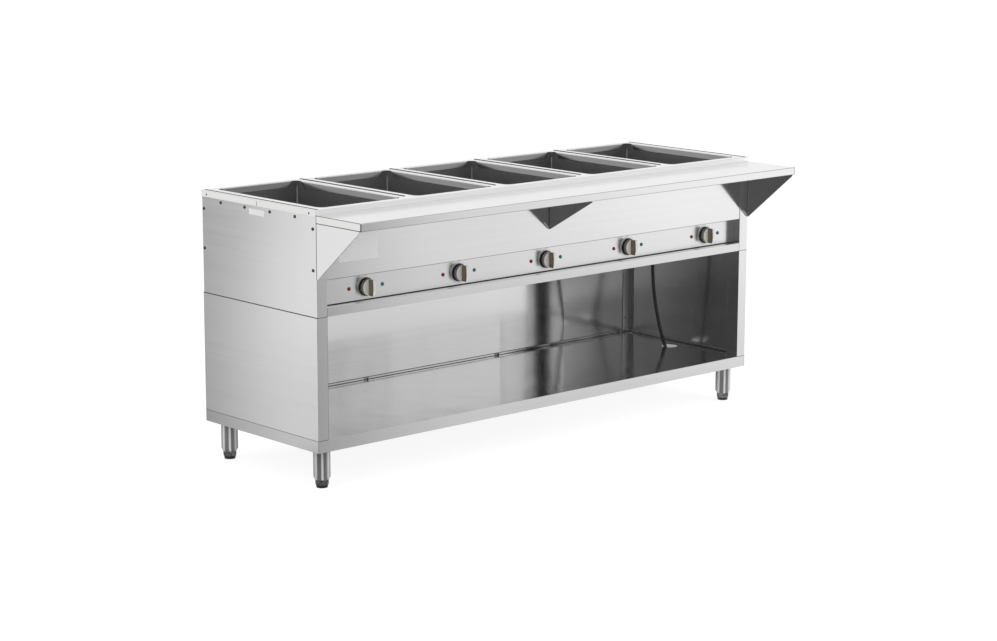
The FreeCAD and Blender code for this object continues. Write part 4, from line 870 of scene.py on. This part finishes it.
def seam_boxes():
    """Corner pairs of the lines in millimetres, mirrored where both ends have them."""
    front, back, shelf = -177.8, 381.0, -381.0
    side, post, proud = 914.5, 877.0, 0.15
    seam, apron, rail, foot = 517.5, 153.5, 543.5, 625.0
    shelf_low, shelf_high, deck = 792.7, 816.8, 832.0
    face = (front - proud, front)
    pairs = [
        ((side - 1.3, side + proud), (front, back), (seam - 0.8, seam + 1.4)),
        ((side, side + proud), (front, back), (apron - 0.7, apron + 0.5)),
        ((post, side), face, (seam - 0.7, seam + 0.8)),
        ((post, side), face, (apron - 0.7, apron + 0.6)),
        ((post - 0.5, post + 0.3), face, (seam, rail)),
        ((side - 1.0, side), face, (117.5, apron)),
        ((post - 0.5, post + 0.3), (front, front + 1), (apron, seam)),
        ((side, side + proud), (shelf, front), (shelf_low, shelf_low + 2.0)),
        ((side, side + proud), (shelf, front), (shelf_high - 2.0, shelf_high - 0.4)),
        ((side, side + proud), (shelf + 0.2, shelf + 2.0), (shelf_low, shelf_high - 0.4)),
        ((side, side + proud), (front - 2.0, front), (shelf_low, shelf_high - 0.4)),
        ((side, side + proud), (front - 2.2, front), (630.7, shelf_low)),
        ((911.9, 912.1), (front + 60, back - 4), (apron, apron + 1.4)),
        ((913.2, 913.3), (front + 60, back - 4), (161.5, 162.5)),
        ((886.0, 888.3), (379.7, 379.8), (161.5, 516.3)),
        ((913.2, 913.3), (351.8, 354.8), (161.5, 516.3)),
    ]
    boxes = []
    for span, depth, height in pairs:
        for sign in (-1, 1):
            ends = sorted(sign * part for part in span)
            boxes.append(((ends[0], depth[0], height[0]), (ends[1], depth[1], height[1])))
    for x in (-904, 904):
        boxes.append(((x - 0.8, front + 4, deck), (x + 0.8, back - 4, deck + 0.9)))
    for x in (-543, -181, 181, 543):
        boxes.append(((x - 1.5, -127.8, deck - 0.5), (x + 1.5, back - 3, deck + 1.3)))
    lines = [
        ((shelf - 0.1, shelf), (shelf_low + 0.4, shelf_low + 1.1), side),
        ((shelf - 0.1, shelf), (shelf_high - 1.4, shelf_high - 0.8), side),
        ((-176.75, -176.6), (foot, foot + 1.0), post),
        ((-147.15, -147.0), (rail, rail + 2.4), post),
        ((379.7, 379.8), (161.5, 162.6), 888),
        ((378.4, 378.6), (apron, apron + 1.4), 912),
    ]
    for depth, height, reach in lines:
        boxes.append(((-reach, depth[0], height[0]), (reach, depth[1], height[1])))
    return boxes


def make_seams(dark):
    """Painted shade: dark lines where sheets meet, at their gaps, folds and hems."""
    mesh = bmesh.new()
    for low, high in seam_boxes():
        add_block(mesh, [part * MM for part in low], [part * MM for part in high])
    new_piece("seams", mesh, dark, smooth=False)


def make_hems(pale):
    """The cut edge of the undershelf's upstand, drawn as a light line: a painted highlight."""
    mesh = bmesh.new()
    low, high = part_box("undershelf")
    inset, proud, width, start = 2.5 * MM, 0.1 * MM, 1.2 * MM, 60 * MM
    back, side = high.y - inset, high.x - inset
    top = high.z - proud
    add_block(mesh, (-side, back, top - width), (side, back + proud, top))
    for sign in (-1, 1):
        ends = sorted((sign * side, sign * (side + proud)))
        add_block(mesh, (ends[0], low.y + start, top - width), (ends[1], back, top))
    new_piece("undershelf_hems", mesh, pale, smooth=False)


def make_gusset_roots(pale, dark):
    """The bend of each gusset into its fixing flange: a light upright line of painted highlight beside a
    dark one of painted shade.
    """
    bright, deep = bmesh.new(), bmesh.new()
    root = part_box("fascia")[0].y
    for side in ("left", "middle", "right"):
        low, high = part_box(f"bracket_{side}")
        face = low.x + GUSSET_GAUGE if side == "left" else high.x - GUSSET_GAUGE
        proud = BEND_PROUD if side == "left" else -BEND_PROUD
        ends = sorted((face, face + proud))
        top = high.z - BEND_TOP_INSET
        for mesh, (start, end), rise in ((deep, GAP_SHADE_REACH, 1 * MM), (bright, BEND_HIGHLIGHT_REACH, 6 * MM)):
            add_block(mesh, (ends[0], root - start, low.z + rise), (ends[1], root - end, top))
    new_piece("gusset_bend_highlights", bright, pale, smooth=False)
    new_piece("gusset_gap_shade", deep, dark, smooth=False)


def make_deck_marks(dark):
    """Spot welds at the ends of the deck's side lips and a tick at their middle."""
    mesh = bmesh.new()
    for side in (-1, 1):
        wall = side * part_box("deck_top")[1].x
        for y in DECK_WELD_Y:
            add_turned(mesh, DECK_WELD, placed((wall, y, DECK_WELD_Z), (side, 0, 0)), sides=16)
        ends = sorted((wall, wall + side * DECK_TICK_GAUGE))
        add_block(mesh, (ends[0], DECK_TICK_Y[0], DECK_TICK_Z[0]), (ends[1], DECK_TICK_Y[1], DECK_TICK_Z[1]))
    new_piece("deck_marks", mesh, dark)


# ---------------------------------------------------------------- studio
def heading(bearing, elevation):
    """The direction at a bearing, clockwise from +Y, and an elevation, in degrees."""
    turn, rise = math.radians(bearing), math.radians(elevation)
    return Vector((math.sin(turn) * math.cos(rise), math.cos(turn) * math.cos(rise), math.sin(rise)))


FLOOR_REACH = 40
FLOOR_HEIGHT = -0.2 * MM
FLOOR_ACROSS = Vector((0.79, 0.61, 0)).normalized()
# A gloss sees one side of the studio dark, one half dark and one a little brighter than the rest.
DARK_SIDE = heading(240, 11.5)
SHADED_SIDE = heading(153, 11.5)
BRIGHT_SIDE = heading(55, 8)
WORLD_LEVEL = 0.6
# Name, place, size and power of each soft box.
LAMPS = (
    ("key", (2.6, -3.4, 3.2), (3.2, 2.6), 42),
    ("fill", (-3.6, -0.6, 2.6), (2.0, 2.0), 24),
    ("top", (0.5, 1.4, 3.4), (4.0, 3.5), 34),
)
LAMP_AIM = Vector((0, 0, 0.45))


def seen_directly(tree):
    """1 for rays that show the background: from the camera, a gloss or a clear body."""
    path = add_node(tree, "ShaderNodeLightPath")
    either = math_node(tree, "MAXIMUM", path.outputs["Is Camera Ray"], path.outputs["Is Glossy Ray"])
    return math_node(tree, "MAXIMUM", either, path.outputs["Is Transmission Ray"])


def floor_glow(tree):
    """What a gloss sees in the floor: dark to the left, pale to the right, half dark behind the left."""
    where = add_node(tree, "ShaderNodeTexCoord")
    across = dot_product(tree, where.outputs["Object"], FLOOR_ACROSS)
    (y,) = object_axes(tree, "Y")
    rising = smooth_range(tree, across, (-1.5, -0.2), (0.12, 0.92))
    beyond = smooth_range(tree, across, (-0.2, 1.3), (0.0, 0.25))
    nearer = smooth_range(tree, y, (-3.4, -0.3), (1.0, 0.83))
    before = math_node(tree, "MULTIPLY", math_node(tree, "ADD", rising, beyond), nearer)
    falling = smooth_range(tree, across, (-0.8, -0.3), (0.97, 0.4))
    again = smooth_range(tree, across, (0.3, 1.6), (0.0, 0.6))
    farther = smooth_range(tree, y, (0.5, 2.5), (0.82, 1.06))
    behind = math_node(tree, "MULTIPLY", math_node(tree, "ADD", falling, again), farther)
    return mix_values(tree, smooth_range(tree, y, (-0.1, 0.4), (0.0, 1.0)), before, behind)


def mix_shaders(tree, factor, first, second):
    """The first shader at 0 and the second at 1."""
    mix = add_node(tree, "ShaderNodeMixShader")
    tree.links.new(factor, mix.inputs["Fac"])
    tree.links.new(first, mix.inputs[1])
    tree.links.new(second, mix.inputs[2])
    return mix.outputs["Shader"]


def make_floor():
    """A plain pale floor, white where it is seen, that keeps the table's shadow."""
    mesh = bmesh.new()
    corners = [(-1, -1), (1, -1), (1, 1), (-1, 1)]
    mesh.faces.new([mesh.verts.new((x * FLOOR_REACH, y * FLOOR_REACH, FLOOR_HEIGHT)) for x, y in corners])
    data = bpy.data.meshes.new("floor")
    mesh.to_mesh(data)
    mesh.free()
    floor = bpy.data.objects.new("floor", data)
    bpy.context.scene.collection.objects.link(floor)

    material, tree, shader = new_material("floor", (0.85, 0.85, 0.85), 0.9)
    pale = add_node(tree, "ShaderNodeBsdfDiffuse")
    pale.inputs["Color"].default_value = (0.30, 0.30, 0.30, 1)
    glow = add_node(tree, "ShaderNodeEmission")
    glow.inputs["Strength"].default_value = 0.85
    both = add_node(tree, "ShaderNodeAddShader")
    tree.links.new(pale.outputs["BSDF"], both.inputs[0])
    tree.links.new(glow.outputs["Emission"], both.inputs[1])
    mirrored = add_node(tree, "ShaderNodeEmission")
    tree.links.new(floor_glow(tree), mirrored.inputs["Strength"])
    path = add_node(tree, "ShaderNodeLightPath")
    gloss = path.outputs["Is Glossy Ray"]
    shown = mix_shaders(tree, gloss, both.outputs["Shader"], mirrored.outputs["Emission"])
    surface = mix_shaders(tree, seen_directly(tree), shader.outputs["BSDF"], shown)
    tree.links.new(surface, tree.nodes["Material Output"].inputs["Surface"])
    data.materials.append(material)


def make_world():
    """A plain pale world: white where it is seen, and with its darker sides for a gloss."""
    world = bpy.data.worlds.new("studio")
    bpy.context.scene.world = world
    world.use_nodes = True
    tree = world.node_tree
    lighting = tree.nodes["Background"]
    lighting.inputs["Color"].default_value = (1, 1, 1, 1)
    lighting.inputs["Strength"].default_value = WORLD_LEVEL
    seen = add_node(tree, "ShaderNodeBackground")
    seen.inputs["Color"].default_value = (1, 1, 1, 1)
    where = add_node(tree, "ShaderNodeTexCoord")
    towards = where.outputs["Generated"]
    dark = smooth_range(tree, dot_product(tree, towards, DARK_SIDE), (0.933, 0.969), (0.98, 0.07))
    shaded = smooth_range(tree, dot_product(tree, towards, SHADED_SIDE), (0.976, 0.982), (1.0, 0.6))
    bright = smooth_range(tree, dot_product(tree, towards, BRIGHT_SIDE), (0.93, 1.0), (0.0, 0.04))
    mirrored = math_node(tree, "ADD", math_node(tree, "MULTIPLY", dark, shaded), bright)
    path = add_node(tree, "ShaderNodeLightPath")
    level = mix_values(tree, path.outputs["Is Glossy Ray"], 1.0, mirrored)
    tree.links.new(level, seen.inputs["Strength"])
    lit, shown = lighting.outputs["Background"], seen.outputs["Background"]
    surface = mix_shaders(tree, seen_directly(tree), lit, shown)
    tree.links.new(surface, tree.nodes["World Output"].inputs["Surface"])


def make_lamp(name, place, size, power):
    """A soft box that looks at the table. Steel doesn't mirror it, or the deck would burn out."""
    data = bpy.data.lights.new(name, "AREA")
    data.shape = "RECTANGLE"
    data.size, data.size_y = size
    data.energy = power
    lamp = bpy.data.objects.new(name, data)
    aim = (LAMP_AIM - Vector(place)).to_track_quat("-Z", "Y").to_matrix().to_4x4()
    lamp.matrix_world = Matrix.Translation(place) @ aim
    lamp.visible_camera = False
    lamp.visible_glossy = False
    bpy.context.scene.collection.objects.link(lamp)


# ---------------------------------------------------------------- whole scene
def paint_sheets():
    """Materials of the folded sheets and what is fixed to them."""
    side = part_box("deck_top")[1].x
    steel_x = brushed_steel("steel_along_x", GRAIN_X)
    steel_y = brushed_steel("steel_along_y", GRAIN_Y, roughness=0.18, depth=0.0006 * MM)
    steel_gusset = brushed_steel("gusset_steel", GRAIN_Y, roughness=0.13)
    paint(steel_x, "shelf_stiffeners", "upper_back", "belly_pan", "leg_sockets")
    paint(deck_steel("deck_steel", side, **DECK_FOLDS), "deck_top")
    paint(deck_steel("shelf_steel", side, **SHELF_FOLDS), "serving_shelf")
    paint(brushed_steel("front_steel", GRAIN_X, roughness=0.13), "fascia")
    # The rail's darker tone is painted shade.
    paint(brushed_steel("rail_steel", GRAIN_X, tone=(0.68, 0.68, 0.68), roughness=0.13), "lower_rail")
    paint(brushed_steel("panel_steel", GRAIN_X, roughness=0.24), "control_panel")
    paint(brushed_steel("wall_steel", GRAIN_X, roughness=0.12, swell=wall_waves), "cabinet_back")
    paint(undershelf_steel("undershelf_steel"), "undershelf")
    paint(steel_y, "cabinet_side_left", "cabinet_side_right", "upper_side_left", "upper_side_right")
    paint(angle_steel("angle_steel"), "corner_angles")
    paint(steel_gusset, "bracket_left", "bracket_right", "bracket_middle")


def paint_wells():
    """Materials of the liners, their elements and the blanket round them."""
    # The liners' darker tone is painted shade inside the wells.
    steel_inside = brushed_steel("liner_steel", GRAIN_X, tone=(0.5, 0.5, 0.5), roughness=0.3)
    element_metal = plain("element_metal", (0.16, 0.15, 0.14), 0.5, metallic=1.0)
    for well in WELLS:
        paint(steel_inside, f"well_liner_{well}")
        paint(element_metal, f"heating_element_{well}")
    paint(steel_inside, "element_saddles")
    paint(plain("blanket", (0.75, 0.72, 0.62), 0.95, grain_scale=900, depth=0.6 * MM), "well_insulation")


def paint_controls(tube_steel):
    """Materials of the dials, their shafts and plates, and the pilot lamps."""
    for well in WELLS:
        low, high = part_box(f"control_shaft_{well}")
        paint(dial_material(f"dial_{well}", (low + high) / 2), f"knob_{well}")
        paint(tube_steel, f"control_shaft_{well}")
    paint(plain("dial_plate", (0.8, 0.8, 0.8), 0.38, metallic=0.8, depth=0.01 * MM), "dial_plates")
    paint(lens_material("red_lens", (0.45, 0.03, 0.035)), "red_lamps")
    paint(lens_material("green_lens", (0.015, 0.45, 0.35)), "green_lamps")


def paint_legs(tube_steel):
    """Materials of the legs and the feet."""
    for corner in CORNERS:
        paint(tube_steel, f"leg_{corner}")
        paint(foot_material(f"foot_{corner}"), f"foot_{corner}")


def paint_electrics(rubber):
    """Materials of the inner controls, the terminals, the gland, the plug and the cord's solids."""
    black_plastic = plain("black_plastic", (0.02, 0.02, 0.02), 0.45)
    paint(black_plastic, "heat_controls", "cable_gland", "power_plug")
    paint(plain("terminal_plastic", (0.62, 0.6, 0.52), 0.5), "terminal_block")
    paint(rubber, "power_cord", "cord_coil")


def make_details():
    """Every small piece that the construction leaves out."""
    screw_steel = plain("screw_steel", (0.07, 0.07, 0.07), 0.3, metallic=1.0)
    clip_steel = plain("clip_steel", (0.35, 0.35, 0.35), 0.35, metallic=1.0)
    nut_steel = plain("nut_steel", (0.5, 0.5, 0.5), 0.3, metallic=1.0)
    # Painted shade for the dark lines at seams and gaps.
    seam_shade = plain("seam_shade", (0.03, 0.03, 0.03), 0.7)
    # Painted shade in the screws' cross recesses.
    recess_shade = plain("recess_shade", (0.015, 0.015, 0.015), 0.6)
    label_film = plain("label_film", (0.95, 0.95, 0.94), 0.3, metallic=0.7)
    make_side_screws(screw_steel, recess_shade)
    make_back_screws(screw_steel, recess_shade)
    make_corner_fittings(screw_steel, recess_shade, clip_steel)
    make_socket_bolts(nut_steel)
    make_element_nuts(nut_steel)
    make_stem_threads(nut_steel)
    make_liner_welds(plain("weld_pale", (0.6, 0.6, 0.6), 0.45, metallic=0.5))
    make_seams(seam_shade)
    # A painted highlight along the upstand's cut edge.
    make_hems(plain("hem_highlight", (0.6, 0.6, 0.6), 0.5))
    # Painted highlight and painted shade at the gussets' bends.
    make_gusset_roots(plain("bend_highlight", (0.22, 0.22, 0.22), 0.5), seam_shade)
    make_deck_marks(screw_steel)
    make_plates(label_film, plain("tag_film", (0.88, 0.88, 0.87), 0.35))
    make_dial_marks(plain("print_black", (0.03, 0.03, 0.03), 0.5))


bpy.context.scene.view_settings.view_transform = "Standard"
make_camera()
make_floor()
make_world()
for lamp in LAMPS:
    make_lamp(*lamp)

tube_steel = tube_metal("tube_steel")
cord_rubber = plain("cord_rubber", (0.012, 0.012, 0.012), 0.25)
paint_sheets()
paint_wells()
paint_controls(tube_steel)
paint_legs(tube_steel)
paint_electrics(cord_rubber)
make_cord(cord_rubber)
make_details()
